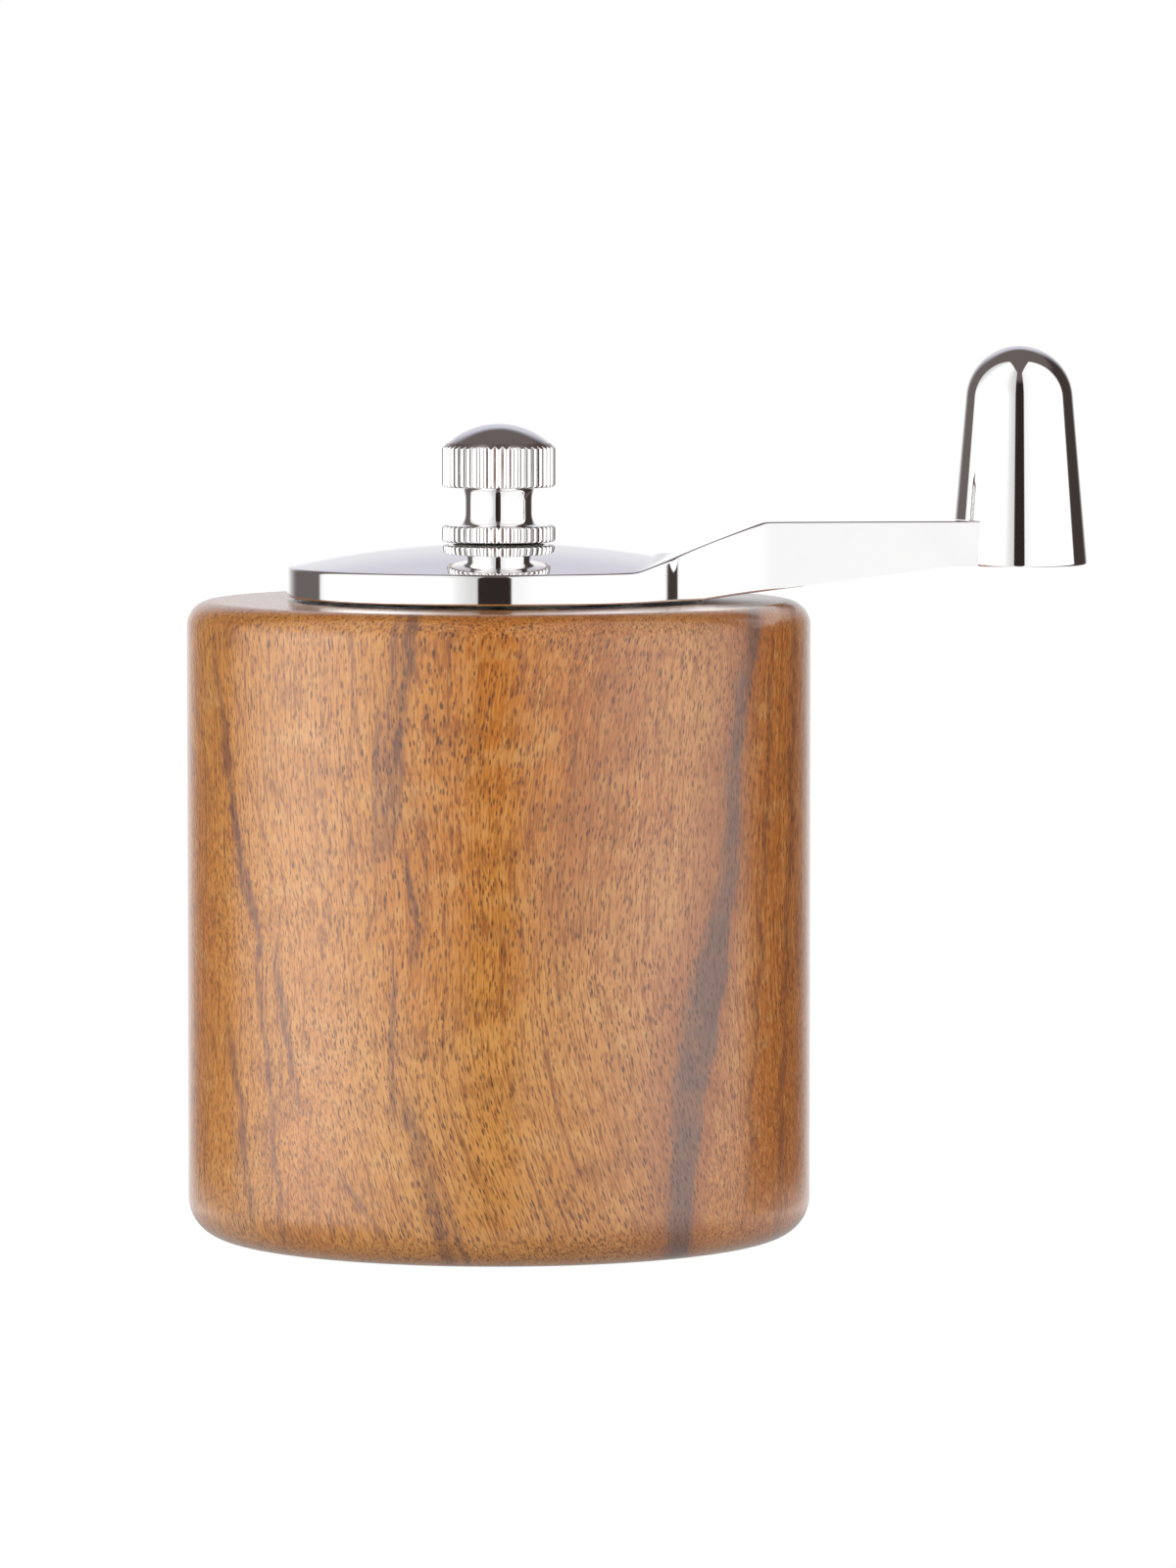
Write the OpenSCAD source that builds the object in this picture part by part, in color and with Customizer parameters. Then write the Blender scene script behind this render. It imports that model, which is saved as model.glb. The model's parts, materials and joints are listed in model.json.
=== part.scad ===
// Compact crank burr grinder. A turned wood body holds a conical burr set in its foot.
// A square shaft runs up to a crank cap, and a knurled nut on top sets the grind.
// Origin: the body's axis at the level of its base. The crank points along +X.

/* [Body] */
// Outside diameter of the wood body
body_d = 65; // [63:0.5:70]
// Height of the wood body
body_h = 66.4; // [64:0.1:80]
// Rounding of the body's top edge
top_round = 2.6; // [1:0.1:4]
// Rounding of the body's bottom edge
foot_round = 4.1; // [1:0.1:4.4]
// Diameter of the bean hopper
hopper_d = 34; // [32:0.5:34]

/* [Crank] */
// Diameter of the crank's cap
cap_d = 44.2; // [43.2:0.1:50]
// Height of the cap's straight skirt
skirt_h = 3.1; // [2.8:0.1:3.5]
// Sphere radius of the cap's domed top
dome_r = 98; // [85:1:110]
// Distance from the shaft's axis to the knob's axis
crank_reach = 54; // [50:0.5:70]
// Wall thickness of the hollow crank
crank_wall = 1.4; // [1:0.1:1.5]
// Arm width where it leaves the cap
arm_root_w = 14; // [13:0.5:16]
// Arm width at the knob
arm_tip_w = 10; // [9.5:0.1:10.4]

/* [Knob] */
// Diameter of the knob at its foot
knob_foot_d = 14.8; // [14.4:0.1:18]
// Height of the knob
knob_h = 22.8; // [21:0.1:30]
// Taper of the knob's side from upright, in degrees
knob_taper = 5.1; // [3:0.1:6]

/* [Nut] */
// Diameter of the adjusting nut over its knurl
nut_d = 11.8; // [11.4:0.1:14]
// Number of knurl teeth
knurl_teeth = 44; // [30:2:60]

/* [Drive] */
// Width of the square drive shaft across its flats
shaft_w = 5.5; // [5:0.1:5.5]
// Diameter of the shaft's threaded end
thread_d = 4.9; // [4:0.1:4.9]
// Radial clearance of every running fit
running_fit = 0.05; // [0.03:0.01:0.08]

/* [Burrs] */
// Diameter of the inner burr at its lower edge
inner_burr_d = 26.6; // [26:0.1:26.8]
// Gap between the burrs at the middle setting
burr_gap = 0.45; // [0.4:0.01:0.5]
// Number of spiral grooves in the inner burr
inner_teeth = 12; // [8:1:14]
// Number of grooves in the outer burr
outer_teeth = 24; // [16:2:28]

/* [Hidden] */
$fn = 96;
cut = 1; // how far a cutting shape runs past the face that it opens
sink = 0.2; // how far one piece of a shape runs into the next
rest_gap = 0.05; // gap between parts that lie against each other
drop_gap = 0.1; // gap round parts that only drop into place
screw_count = 3; // screws in each ring of them, and arms in the bridge and the plate
round_steps = 8; // steps in a rounded outline
fine_steps = 12; // steps in the knob's outline

steel = "gainsboro";
brass = "goldenrod";
hard_steel = "darkgray";
nylon = "ivory";

// Foot of the body: an open outlet, then the ring that holds the burr set up
body_r = body_d / 2;
outlet_r = 26;
outlet_h = 4;
recess_r = 25.5;
ring_z = 7.2;
ring_t = 1.2;
ring_play = 0.2;
ring_r = recess_r - ring_play;
ring_hole_r = 15;
ring_screw_pitch_r = 22.6;
ring_screw_turn = 60;
ring_screw_l = 10;
screw_r = 1.2;
screw_gap = 0.05;
screw_head_r = 2.4;
screw_slot_w = 0.5;
screw_slot_depth = 0.5;

// Carrier, outer burr and the bridge over them, held between the ring and the body's shoulder
carrier_z = ring_z + ring_t;
carrier_r = 20;
carrier_h = 21;
carrier_top = carrier_z + carrier_h;
burr_pocket_r = 17.1;
outer_burr_r = 17;
outer_burr_h = 11.6;
burr_top_z = carrier_z + outer_burr_h;
bridge_t = 2.4;
bridge_z = carrier_top - bridge_t;
bridge_r = 18.9;
bridge_hole_r = 16.5;
bridge_arm_w = 4;
hub_r = 7;
hub_z = 24.9;
hub_h = 6;
hub_flange_step = 0.5;
bridge_arm_over = 1;
guide_bush_r = 5;
bush_flange_t = 0.8;

// Burr cones: a fine band at the foot, then a steep cone that draws the beans in
burr_band_slope = 0.3;
inner_drop = 0.4;
inner_z = carrier_z - inner_drop;
inner_r = inner_burr_d / 2;
inner_band_h = 3;
inner_band_r = inner_r - burr_band_slope * inner_band_h;
inner_h = 9;
inner_top_r = 6.5;
inner_top_z = inner_z + inner_h;
outer_low_r = inner_r - burr_band_slope * (carrier_z - inner_z) + burr_gap;
outer_band_h = 3.5;
outer_band_r = outer_low_r - burr_band_slope * outer_band_h;
outer_mouth_r = 14;
tooth_helix = 30;
outer_groove_w = 0.8;
outer_groove_depth = 1.4;
inner_groove_w = 1.5;
inner_groove_depth = 1.6;

// Shaft and what it carries at its foot
shaft_end_z = inner_z + drop_gap;
corner_r = 3.3;
square_play = 2 * running_fit;
burr_washer_t = 0.8;
burr_washer_r = 6.5;
burr_screw_r = 1.5;
burr_screw_head_r = 3.2;
burr_screw_head_h = 2;
burr_screw_l = 7.8;
burr_screw_chamfer = 0.5;
burr_recess_l = 4;
burr_recess_w = 0.8;
burr_recess_depth = 1;
seat_t = 0.5;
seat_r = 6;

// Spring between the bridge's hub and the seat
wire_r = 0.5;
spring_r = 4.4;
spring_turns = 4;
spring_low = inner_top_z + seat_t + wire_r;
spring_high = hub_z - wire_r;
wire_sides = 8;
rings_per_turn = 16;

// Top plate, let into the body's top, with the drive bush turning in it
hopper_r = hopper_d / 2;
plate_seat = 1.5;
plate_z = body_h - plate_seat;
plate_t = 1.4;
plate_top = plate_z + plate_t;
plate_r = 21.2;
plate_screw_pitch_r = 19.1;
plate_screw_head_r = 1.8;
plate_screw_r = 1;
plate_screw_l = 9;
boss_r = 8.5;
boss_h = 4.8;
bearing_r = 6.5;
window_in_r = 9.5;
window_out_r = 16;
window_bar_w = 5;
bush_bore_r = 5;
bush_r = bush_bore_r - running_fit;
thrust_t = 0.3;
thrust_r = 7.2;
bush_flange_z = plate_top + thrust_t + rest_gap;
drive_flange_r = 7;
drive_flange_t = 1.05;
bush_tail = 2;
clip_drop = 1;
bush_low_z = plate_z - boss_h - bush_tail;
clip_z = plate_z - boss_h - clip_drop;
clip_t = 0.6;
clip_groove_r = 4.3;
clip_mouth_w = 1.2 * clip_groove_r;

// Crank
cap_r = cap_d / 2;
cap_lift = 0.4;
skirt_z = body_h + cap_lift;
rim_z = skirt_z + skirt_h;
dome_z = rim_z - sqrt(dome_r * dome_r - cap_r * cap_r);
apex_z = dome_z + dome_r;
arm_top_rise = 4.9;
arm_low_rise = 3.3;
ramp_foot_in = 8;
ramp_head_out = 5.4;
arm_flat_in = 1;
arm_rise_back = 7.2;
arm_top_z = rim_z + arm_top_rise;
arm_low_z = skirt_z + arm_low_rise;
ramp_foot_x = cap_r - ramp_foot_in;
ramp_head_x = cap_r + ramp_head_out;
arm_flat_x = cap_r - arm_flat_in;
arm_rise_x = crank_reach - arm_rise_back;
root_fillet_r = 14;
fillet_y = arm_root_w / 2 + root_fillet_r;
fillet_x = sqrt(pow(cap_r + root_fillet_r, 2) - fillet_y * fillet_y);
pad_r = 5.3;
crank_boss_r = 7.5;
insert_r = 5;
insert_z = bush_flange_z + drive_flange_t + rest_gap;
insert_h = 3.3;
crank_boss_step = 0.6;
crank_boss_z = insert_z + crank_boss_step;
dome_hole_r = 3.6;
square_top_z = insert_z + insert_h - drop_gap;
knob_screw_r = 1.25;
knob_screw_head_r = 2.6;
knob_screw_head_h = 1.6;
knob_screw_l = 8;
knob_screw_end_gap = 0.5;
knob_recess_l = 3.2;
knob_recess_w = 0.6;
knob_recess_depth = 0.8;

// Knob: a straight taper that runs into a round top
knob_z = arm_low_z - rest_gap;
knob_foot_r = knob_foot_d / 2;
knob_wall = 1.3;
knob_post_r = 2.6;
knob_ball_r = (knob_foot_r - knob_h * tan(knob_taper))
    / (cos(knob_taper) - tan(knob_taper) + sin(knob_taper) * tan(knob_taper));
knob_notch_play = 1.1;
knob_notch_w = arm_tip_w + knob_notch_play;

// Nut
nut_z = apex_z + rest_gap;
nut_r = nut_d / 2;
knurl_depth = 0.28;
low_knurl_h = 1.7;
neck_h = 4;
neck_r = 4.15;
neck_waist_r = 3.5;
high_knurl_h = 4.2;
nut_dome_step = 0.15;
nut_dome_base_r = nut_r - nut_dome_step;
nut_dome_h = 2.4;
nut_washer_r = 4.7;
nut_washer_t = 0.5;
nut_washer_lift = 0.02;
nut_washer_z = apex_z + nut_washer_lift;
nut_bore_r = thread_d / 2 + running_fit;
nut_bore_h = 10.6;
thread_reach = 9.4;
thread_top_z = nut_z + thread_reach;
thread_chamfer = 0.4;

// Points along an arc about [x, y], from angle a to angle b
function arc(x, y, r, a, b, steps) =
    [for (i = [0 : steps]) let (t = a + (b - a) * i / steps) [x + r * cos(t), y + r * sin(t)]];

// Shape turned about the axis from its outline in radius and height
module turned(outline) {
    rotate_extrude() polygon(outline);
}

// Copies round the axis
module around(count, radius, first = 0) {
    for (i = [0 : count - 1])
        rotate(first + i * 360 / count)
            translate([radius, 0, 0])
                children();
}

module disc(r, low, high) {
    translate([0, 0, low]) cylinder(r = r, h = high - low);
}

module washer(r_out, r_in, low, high) {
    difference() {
        disc(r_out, low, high);
        disc(r_in, low - cut, high + cut);
    }
}

module square_bar(w, low, high) {
    translate([-w / 2, -w / 2, low]) cube([w, w, high - low]);
}

// Countersunk screw that points up from its slotted head at the origin
module countersunk_screw(head_r, r, length) {
    difference() {
        union() {
            cylinder(r1 = head_r, r2 = r, h = head_r - r);
            cylinder(r = r, h = length - r);
            translate([0, 0, length - r]) cylinder(r1 = r, r2 = r / 4, h = r);
        }
        translate([-head_r, -screw_slot_w / 2, -cut])
            cube([2 * head_r, screw_slot_w, cut + screw_slot_depth]);
    }
}

// Room for such a screw, with its own clearance
module screw_hole(head_r, r, length) {
    translate([0, 0, -cut]) cylinder(r = head_r + screw_gap, h = cut);
    cylinder(r1 = head_r + screw_gap, r2 = r + screw_gap, h = head_r - r);
    cylinder(r = r + screw_gap, h = length + screw_gap);
}

// Body, and the burr set fixed in it

module wood_body() {
    color("peru") difference() {
        turned(concat(
            [[0, 0]],
            arc(body_r - foot_round, foot_round, foot_round, -90, 0, round_steps),
            arc(body_r - top_round, body_h - top_round, top_round, 0, 90, round_steps),
            [[0, body_h]]
        ));
        disc(outlet_r, -cut, outlet_h);
        disc(recess_r, 0, carrier_z);
        disc(carrier_r + drop_gap, carrier_z - cut, carrier_top);
        disc(hopper_r, carrier_top - cut, plate_z + cut);
        disc(plate_r + rest_gap, plate_z, body_h + cut);
        around(screw_count, ring_screw_pitch_r, ring_screw_turn)
            translate([0, 0, ring_z])
                screw_hole(screw_head_r, screw_r, ring_screw_l);
        around(screw_count, plate_screw_pitch_r)
            translate([0, 0, plate_top])
                mirror([0, 0, 1])
                    cylinder(r = plate_screw_r + screw_gap, h = plate_screw_l + screw_gap);
    }
}

module top_plate() {
    color(steel) difference() {
        union() {
            disc(plate_r, plate_z, plate_top);
            disc(boss_r, plate_z - boss_h, plate_top);
        }
        disc(bearing_r, plate_z - boss_h - cut, plate_top + cut);
        difference() {
            washer(window_out_r, window_in_r, plate_z - cut, plate_top + cut);
            around(screw_count, 0)
                translate([0, -window_bar_w / 2, plate_z - 2 * cut])
                    cube([window_out_r + cut, window_bar_w, plate_t + 4 * cut]);
        }
        around(screw_count, plate_screw_pitch_r)
            translate([0, 0, plate_top])
                mirror([0, 0, 1])
                    screw_hole(plate_screw_head_r, plate_screw_r, plate_screw_l);
    }
}

module top_plate_screws() {
    color(steel)
        around(screw_count, plate_screw_pitch_r)
            translate([0, 0, plate_top])
                mirror([0, 0, 1])
                    countersunk_screw(plate_screw_head_r, plate_screw_r, plate_screw_l);
}

module top_bearing() {
    color(brass) washer(bearing_r, bush_bore_r, plate_z - boss_h, plate_top);
}

module thrust_washer() {
    color(nylon) washer(thrust_r, bush_bore_r + drop_gap, plate_top, plate_top + thrust_t);
}

module retaining_ring() {
    color(steel) difference() {
        washer(ring_r, ring_hole_r, ring_z, carrier_z);
        around(screw_count, ring_screw_pitch_r, ring_screw_turn)
            translate([0, 0, ring_z])
                screw_hole(screw_head_r, screw_r, ring_screw_l);
    }
}

module ring_screws() {
    color(steel)
        around(screw_count, ring_screw_pitch_r, ring_screw_turn)
            translate([0, 0, ring_z])
                countersunk_screw(screw_head_r, screw_r, ring_screw_l);
}

module burr_carrier() {
    color("dimgray") turned([
        [burr_pocket_r, carrier_z],
        [carrier_r, carrier_z],
        [carrier_r, carrier_top],
        [bridge_r + drop_gap, carrier_top],
        [bridge_r + drop_gap, bridge_z],
        [bridge_hole_r, bridge_z],
        [outer_mouth_r, burr_top_z],
        [burr_pocket_r, burr_top_z]
    ]);
}

module outer_burr() {
    color(hard_steel) difference() {
        turned([
            [outer_low_r, carrier_z],
            [outer_burr_r, carrier_z],
            [outer_burr_r, burr_top_z],
            [outer_mouth_r, burr_top_z],
            [outer_band_r, carrier_z + outer_band_h]
        ]);
        around(outer_teeth, outer_low_r)
            translate([0, 0, carrier_z + outer_burr_h / 2])
                rotate([-tooth_helix / 2, 0, 0])
                    cube([outer_groove_depth, outer_groove_w, 2 * outer_burr_h], center = true);
    }
}

module guide_bridge() {
    color(steel) difference() {
        union() {
            washer(bridge_r, bridge_hole_r, bridge_z, carrier_top);
            disc(hub_r, hub_z, hub_z + hub_h);
            around(screw_count, 0)
                translate([0, -bridge_arm_w / 2, bridge_z])
                    cube([bridge_hole_r + bridge_arm_over, bridge_arm_w, bridge_t]);
        }
        disc(guide_bush_r, hub_z - cut, hub_z + hub_h + cut);
    }
}

module guide_bush() {
    color(brass) difference() {
        union() {
            disc(guide_bush_r, hub_z, hub_z + hub_h + bush_flange_t);
            disc(hub_r - hub_flange_step, hub_z + hub_h, hub_z + hub_h + bush_flange_t);
        }
        disc(corner_r + running_fit, hub_z - cut, hub_z + hub_h + bush_flange_t + cut);
    }
}

// Drive bush, which turns in the top plate

module drive_bush() {
    color(brass) difference() {
        union() {
            disc(bush_r, bush_low_z, bush_flange_z + drive_flange_t);
            disc(drive_flange_r, bush_flange_z, bush_flange_z + drive_flange_t);
        }
        square_bar(shaft_w + square_play, bush_low_z - cut, bush_flange_z + drive_flange_t + cut);
        washer(bush_r + cut, clip_groove_r, clip_z, clip_z + clip_t);
    }
}

module bush_clip() {
    color("slategray") difference() {
        washer(drive_flange_r, clip_groove_r + rest_gap, clip_z + rest_gap, clip_z + clip_t - rest_gap);
        translate([0, -clip_mouth_w / 2, clip_z - cut])
            cube([drive_flange_r + cut, clip_mouth_w, clip_t + 2 * cut]);
    }
}

// Shaft, which turns with the bush and slides through it

module drive_shaft() {
    color(steel) difference() {
        union() {
            intersection() {
                square_bar(shaft_w, shaft_end_z, square_top_z);
                disc(corner_r, shaft_end_z, square_top_z);
            }
            disc(thread_d / 2, square_top_z - cut, thread_top_z - thread_chamfer);
            translate([0, 0, thread_top_z - thread_chamfer])
                cylinder(r1 = thread_d / 2, r2 = thread_d / 2 - thread_chamfer, h = thread_chamfer);
        }
        disc(burr_screw_r + screw_gap, shaft_end_z - cut, inner_z + burr_screw_l);
    }
}

module inner_burr() {
    slope = atan((inner_band_r - inner_top_r) / (inner_h - inner_band_h));
    middle_r = (inner_band_r + inner_top_r) / 2;
    middle_z = (inner_z + inner_band_h + inner_top_z) / 2;
    color(hard_steel) difference() {
        turned([
            [0, inner_z],
            [inner_r, inner_z],
            [inner_band_r, inner_z + inner_band_h],
            [inner_top_r, inner_top_z],
            [0, inner_top_z]
        ]);
        square_bar(shaft_w + square_play, inner_z - cut, inner_top_z + cut);
        around(inner_teeth, middle_r)
            translate([0, 0, middle_z])
                rotate([0, -slope, 0])
                    rotate([tooth_helix, 0, 0])
                        cube([inner_groove_depth, inner_groove_w, 2 * inner_h], center = true);
    }
}

module burr_washer() {
    color(steel) washer(burr_washer_r, burr_screw_r + drop_gap, inner_z - burr_washer_t, inner_z);
}

module burr_screw() {
    head_top = inner_z - burr_washer_t;
    head_low = head_top - burr_screw_head_h;
    color(steel) difference() {
        union() {
            disc(burr_screw_head_r, head_low + burr_screw_chamfer, head_top);
            translate([0, 0, head_low])
                cylinder(
                    r1 = burr_screw_head_r - burr_screw_chamfer,
                    r2 = burr_screw_head_r,
                    h = burr_screw_chamfer
                );
            disc(burr_screw_r, head_top - cut, head_top + burr_screw_l);
        }
        for (turn = [0, 90])
            rotate(turn)
                translate([-burr_recess_l / 2, -burr_recess_w / 2, head_low - cut])
                    cube([burr_recess_l, burr_recess_w, cut + burr_recess_depth]);
    }
}

module spring_seat() {
    color(steel) washer(seat_r, corner_r + drop_gap, inner_top_z, inner_top_z + seat_t);
}

// Round wire swept along a helix, with its two ends closed
module burr_spring() {
    rings = spring_turns * rings_per_turn;
    rise = spring_high - spring_low;
    lead = atan(rise / (spring_turns * 2 * PI * spring_r));
    points = [
        for (i = [0 : rings], k = [0 : wire_sides - 1])
        let (
            turn = i * 360 / rings_per_turn,
            side = k * 360 / wire_sides,
            out = spring_r + wire_r * cos(side),
            back = -wire_r * sin(side) * sin(lead)
        )
        [
            out * cos(turn) - back * sin(turn),
            out * sin(turn) + back * cos(turn),
            spring_low + rise * i / rings + wire_r * sin(side) * cos(lead)
        ]
    ];
    walls = [
        for (i = [0 : rings - 1], k = [0 : wire_sides - 1])
        let (next = (k + 1) % wire_sides, low = i * wire_sides, high = low + wire_sides)
        [low + k, high + k, high + next, low + next]
    ];
    first_end = [for (k = [0 : wire_sides - 1]) k];
    last_end = [for (k = [wire_sides - 1 : -1 : 0]) rings * wire_sides + k];
    color("lightsteelblue") polyhedron(points, concat(walls, [first_end, last_end]), convexity = 10);
}

// Plan of the cap and its tapered arm, drawn in from the edge by inset
module crank_plan(inset) {
    root_y = arm_root_w / 2 - inset;
    tip_y = arm_tip_w / 2 - inset;
    touch = cap_r / (cap_r + root_fillet_r);
    circle(r = cap_r - inset);
    polygon([[0, -root_y], [fillet_x, -root_y], [crank_reach, -tip_y],
        [crank_reach, tip_y], [fillet_x, root_y], [0, root_y]]);
    translate([crank_reach, 0]) circle(r = pad_r - inset);
    for (side = [-1, 1])
        difference() {
            polygon([[0, 0], [fillet_x * touch, side * fillet_y * touch],
                [fillet_x, side * fillet_y], [fillet_x, 0]]);
            translate([fillet_x, side * fillet_y]) circle(r = root_fillet_r + inset);
        }
}

// Side view in X and Z, carried through the whole width
module side_cut(outline) {
    rotate([90, 0, 0])
        translate([0, 0, -cap_r - cut])
            linear_extrude(2 * (cap_r + cut))
                polygon(outline);
}

// Cap and arm as solid stock, with the top drawn in by wall
module crank_stock(wall, low_z) {
    far_x = crank_reach + pad_r + cut;
    near_x = -cap_r - cut;
    intersection() {
        translate([0, 0, low_z]) linear_extrude(arm_top_z - low_z + cut) crank_plan(wall);
        side_cut([
            [near_x, low_z], [far_x, low_z], [far_x, arm_top_z - wall],
            [ramp_head_x, arm_top_z - wall], [ramp_foot_x, rim_z - wall], [near_x, rim_z - wall]
        ]);
    }
    intersection() {
        disc(cap_r - wall, low_z, apex_z + cut);
        translate([0, 0, dome_z]) sphere(r = dome_r - wall);
    }
}

module crank() {
    far_x = crank_reach + pad_r + 2 * cut;
    color(steel) difference() {
        union() {
            difference() {
                crank_stock(0, skirt_z);
                crank_stock(crank_wall, skirt_z - cut);
            }
            disc(crank_boss_r, crank_boss_z, apex_z - crank_wall / 2);
        }
        side_cut([[arm_flat_x, skirt_z - 2 * cut], [arm_flat_x, skirt_z], [arm_rise_x, arm_low_z],
            [far_x, arm_low_z], [far_x, skirt_z - 2 * cut]]);
        disc(insert_r, crank_boss_z - cut, insert_z + insert_h);
        disc(dome_hole_r, crank_boss_z - cut, apex_z + cut);
        translate([crank_reach, 0, 0]) disc(knob_screw_r + drop_gap, skirt_z, arm_top_z + cut);
    }
}

module drive_insert() {
    color("slategray") difference() {
        disc(insert_r, insert_z, insert_z + insert_h);
        square_bar(shaft_w + square_play, insert_z - cut, insert_z + insert_h + cut);
    }
}

// Outline of the knob or, drawn in by wall, of its cavity
function knob_outline(low_z, wall) = concat(
    [[0, low_z], [knob_foot_r - wall - (low_z - knob_z) * tan(knob_taper), low_z]],
    arc(0, knob_z + knob_h - knob_ball_r, knob_ball_r - wall, knob_taper, 90, fine_steps)
);

module crank_knob() {
    color(steel)
        translate([crank_reach, 0, 0])
            difference() {
                turned(knob_outline(knob_z, 0));
                difference() {
                    turned(knob_outline(knob_z - cut, knob_wall));
                    disc(knob_post_r, arm_top_z, knob_z + knob_h);
                }
                disc(knob_screw_r + rest_gap, arm_top_z - cut, arm_top_z + knob_screw_l);
                translate([-knob_foot_r - cut, -knob_notch_w / 2, knob_z - cut])
                    cube([knob_foot_r + cut, knob_notch_w, arm_top_z - knob_z + cut + rest_gap]);
            }
}

module knob_screw() {
    head_top = arm_top_z - crank_wall;
    head_low = head_top - knob_screw_head_h;
    color(steel)
        translate([crank_reach, 0, 0])
            difference() {
                union() {
                    disc(knob_screw_head_r, head_low, head_top);
                    disc(knob_screw_r, head_top - sink, arm_top_z + knob_screw_l - knob_screw_end_gap);
                }
                for (turn = [0, 90])
                    rotate(turn)
                        translate([-knob_recess_l / 2, -knob_recess_w / 2, head_low - cut])
                            cube([knob_recess_l, knob_recess_w, cut + knob_recess_depth]);
            }
}

module nut_washer() {
    color(nylon) washer(nut_washer_r, nut_bore_r + drop_gap, nut_washer_z, nut_washer_z + nut_washer_t);
}

module knurl(low, height) {
    translate([0, 0, low])
        linear_extrude(height)
            polygon([
                for (i = [0 : 2 * knurl_teeth - 1])
                let (a = i * 180 / knurl_teeth, r = i % 2 == 0 ? nut_r : nut_r - knurl_depth)
                [r * cos(a), r * sin(a)]
            ]);
}

module adjust_nut() {
    neck_z = nut_z + low_knurl_h;
    high_z = neck_z + neck_h;
    dome_base_z = high_z + high_knurl_h;
    hollow = neck_r - neck_waist_r;
    neck_arc_r = (neck_h * neck_h / 4 + hollow * hollow) / (2 * hollow);
    neck_arc_a = asin(neck_h / 2 / neck_arc_r);
    ball_r = (nut_dome_base_r * nut_dome_base_r + nut_dome_h * nut_dome_h) / (2 * nut_dome_h);
    ball_z = dome_base_z + nut_dome_h - ball_r;
    color(steel) difference() {
        union() {
            knurl(nut_z, low_knurl_h);
            turned(concat(
                [[0, neck_z - sink], [neck_r, neck_z - sink]],
                arc(neck_waist_r + neck_arc_r, neck_z + neck_h / 2, neck_arc_r,
                    180 + neck_arc_a, 180 - neck_arc_a, round_steps),
                [[neck_r, high_z + sink], [0, high_z + sink]]
            ));
            knurl(high_z, high_knurl_h);
            turned(concat(
                [[0, dome_base_z - sink], [nut_dome_base_r, dome_base_z - sink]],
                arc(0, ball_z, ball_r, asin(1 - nut_dome_h / ball_r), 90, round_steps)
            ));
        }
        disc(nut_bore_r, nut_z - cut, nut_z + nut_bore_h);
        disc(nut_washer_r + drop_gap, nut_z - cut, nut_z + nut_washer_t);
    }
}

wood_body();
top_plate();
top_plate_screws();
top_bearing();
thrust_washer();
retaining_ring();
ring_screws();
burr_carrier();
outer_burr();
guide_bridge();
guide_bush();
drive_bush();
bush_clip();
drive_shaft();
inner_burr();
burr_washer();
burr_screw();
spring_seat();
burr_spring();
crank();
drive_insert();
crank_knob();
knob_screw();
nut_washer();
adjust_nut();
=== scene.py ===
import json
import math
import bmesh
import bpy
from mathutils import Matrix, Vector

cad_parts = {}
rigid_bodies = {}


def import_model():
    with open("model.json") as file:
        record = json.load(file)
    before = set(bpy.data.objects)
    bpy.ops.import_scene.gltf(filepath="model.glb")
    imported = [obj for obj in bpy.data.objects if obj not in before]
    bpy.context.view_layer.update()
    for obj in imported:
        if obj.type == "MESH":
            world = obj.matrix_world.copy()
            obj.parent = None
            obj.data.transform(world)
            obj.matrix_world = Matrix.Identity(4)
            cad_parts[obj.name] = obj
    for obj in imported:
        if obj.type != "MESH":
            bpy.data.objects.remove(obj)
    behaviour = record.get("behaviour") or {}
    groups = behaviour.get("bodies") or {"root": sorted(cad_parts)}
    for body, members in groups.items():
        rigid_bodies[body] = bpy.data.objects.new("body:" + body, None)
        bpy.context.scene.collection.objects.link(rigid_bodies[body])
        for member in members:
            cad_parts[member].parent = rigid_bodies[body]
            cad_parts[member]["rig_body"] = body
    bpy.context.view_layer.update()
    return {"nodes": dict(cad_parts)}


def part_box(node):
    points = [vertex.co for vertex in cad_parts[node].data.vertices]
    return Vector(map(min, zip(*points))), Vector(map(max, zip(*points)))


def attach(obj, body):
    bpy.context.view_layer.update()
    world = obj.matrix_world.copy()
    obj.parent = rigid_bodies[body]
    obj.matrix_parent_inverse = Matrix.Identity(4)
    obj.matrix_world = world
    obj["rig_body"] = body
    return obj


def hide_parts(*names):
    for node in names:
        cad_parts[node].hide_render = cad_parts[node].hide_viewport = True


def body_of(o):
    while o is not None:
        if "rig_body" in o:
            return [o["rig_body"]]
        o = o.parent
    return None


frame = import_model()
print("frame loaded:", len(frame["nodes"]), "nodes")

mm = 0.001  # lengths below are in millimetres unless a note says otherwise


def highOf(node):
    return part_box(node)[1] / mm


def lowOf(node):
    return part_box(node)[0] / mm


cameraView = {
    "place": (0.0, -918.72, 110.945),
    "pitchDown": 3.972,  # degrees
    "yawRight": 0.58,
    "lens": 202.49,
    "sensor": 36.0,
}

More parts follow.
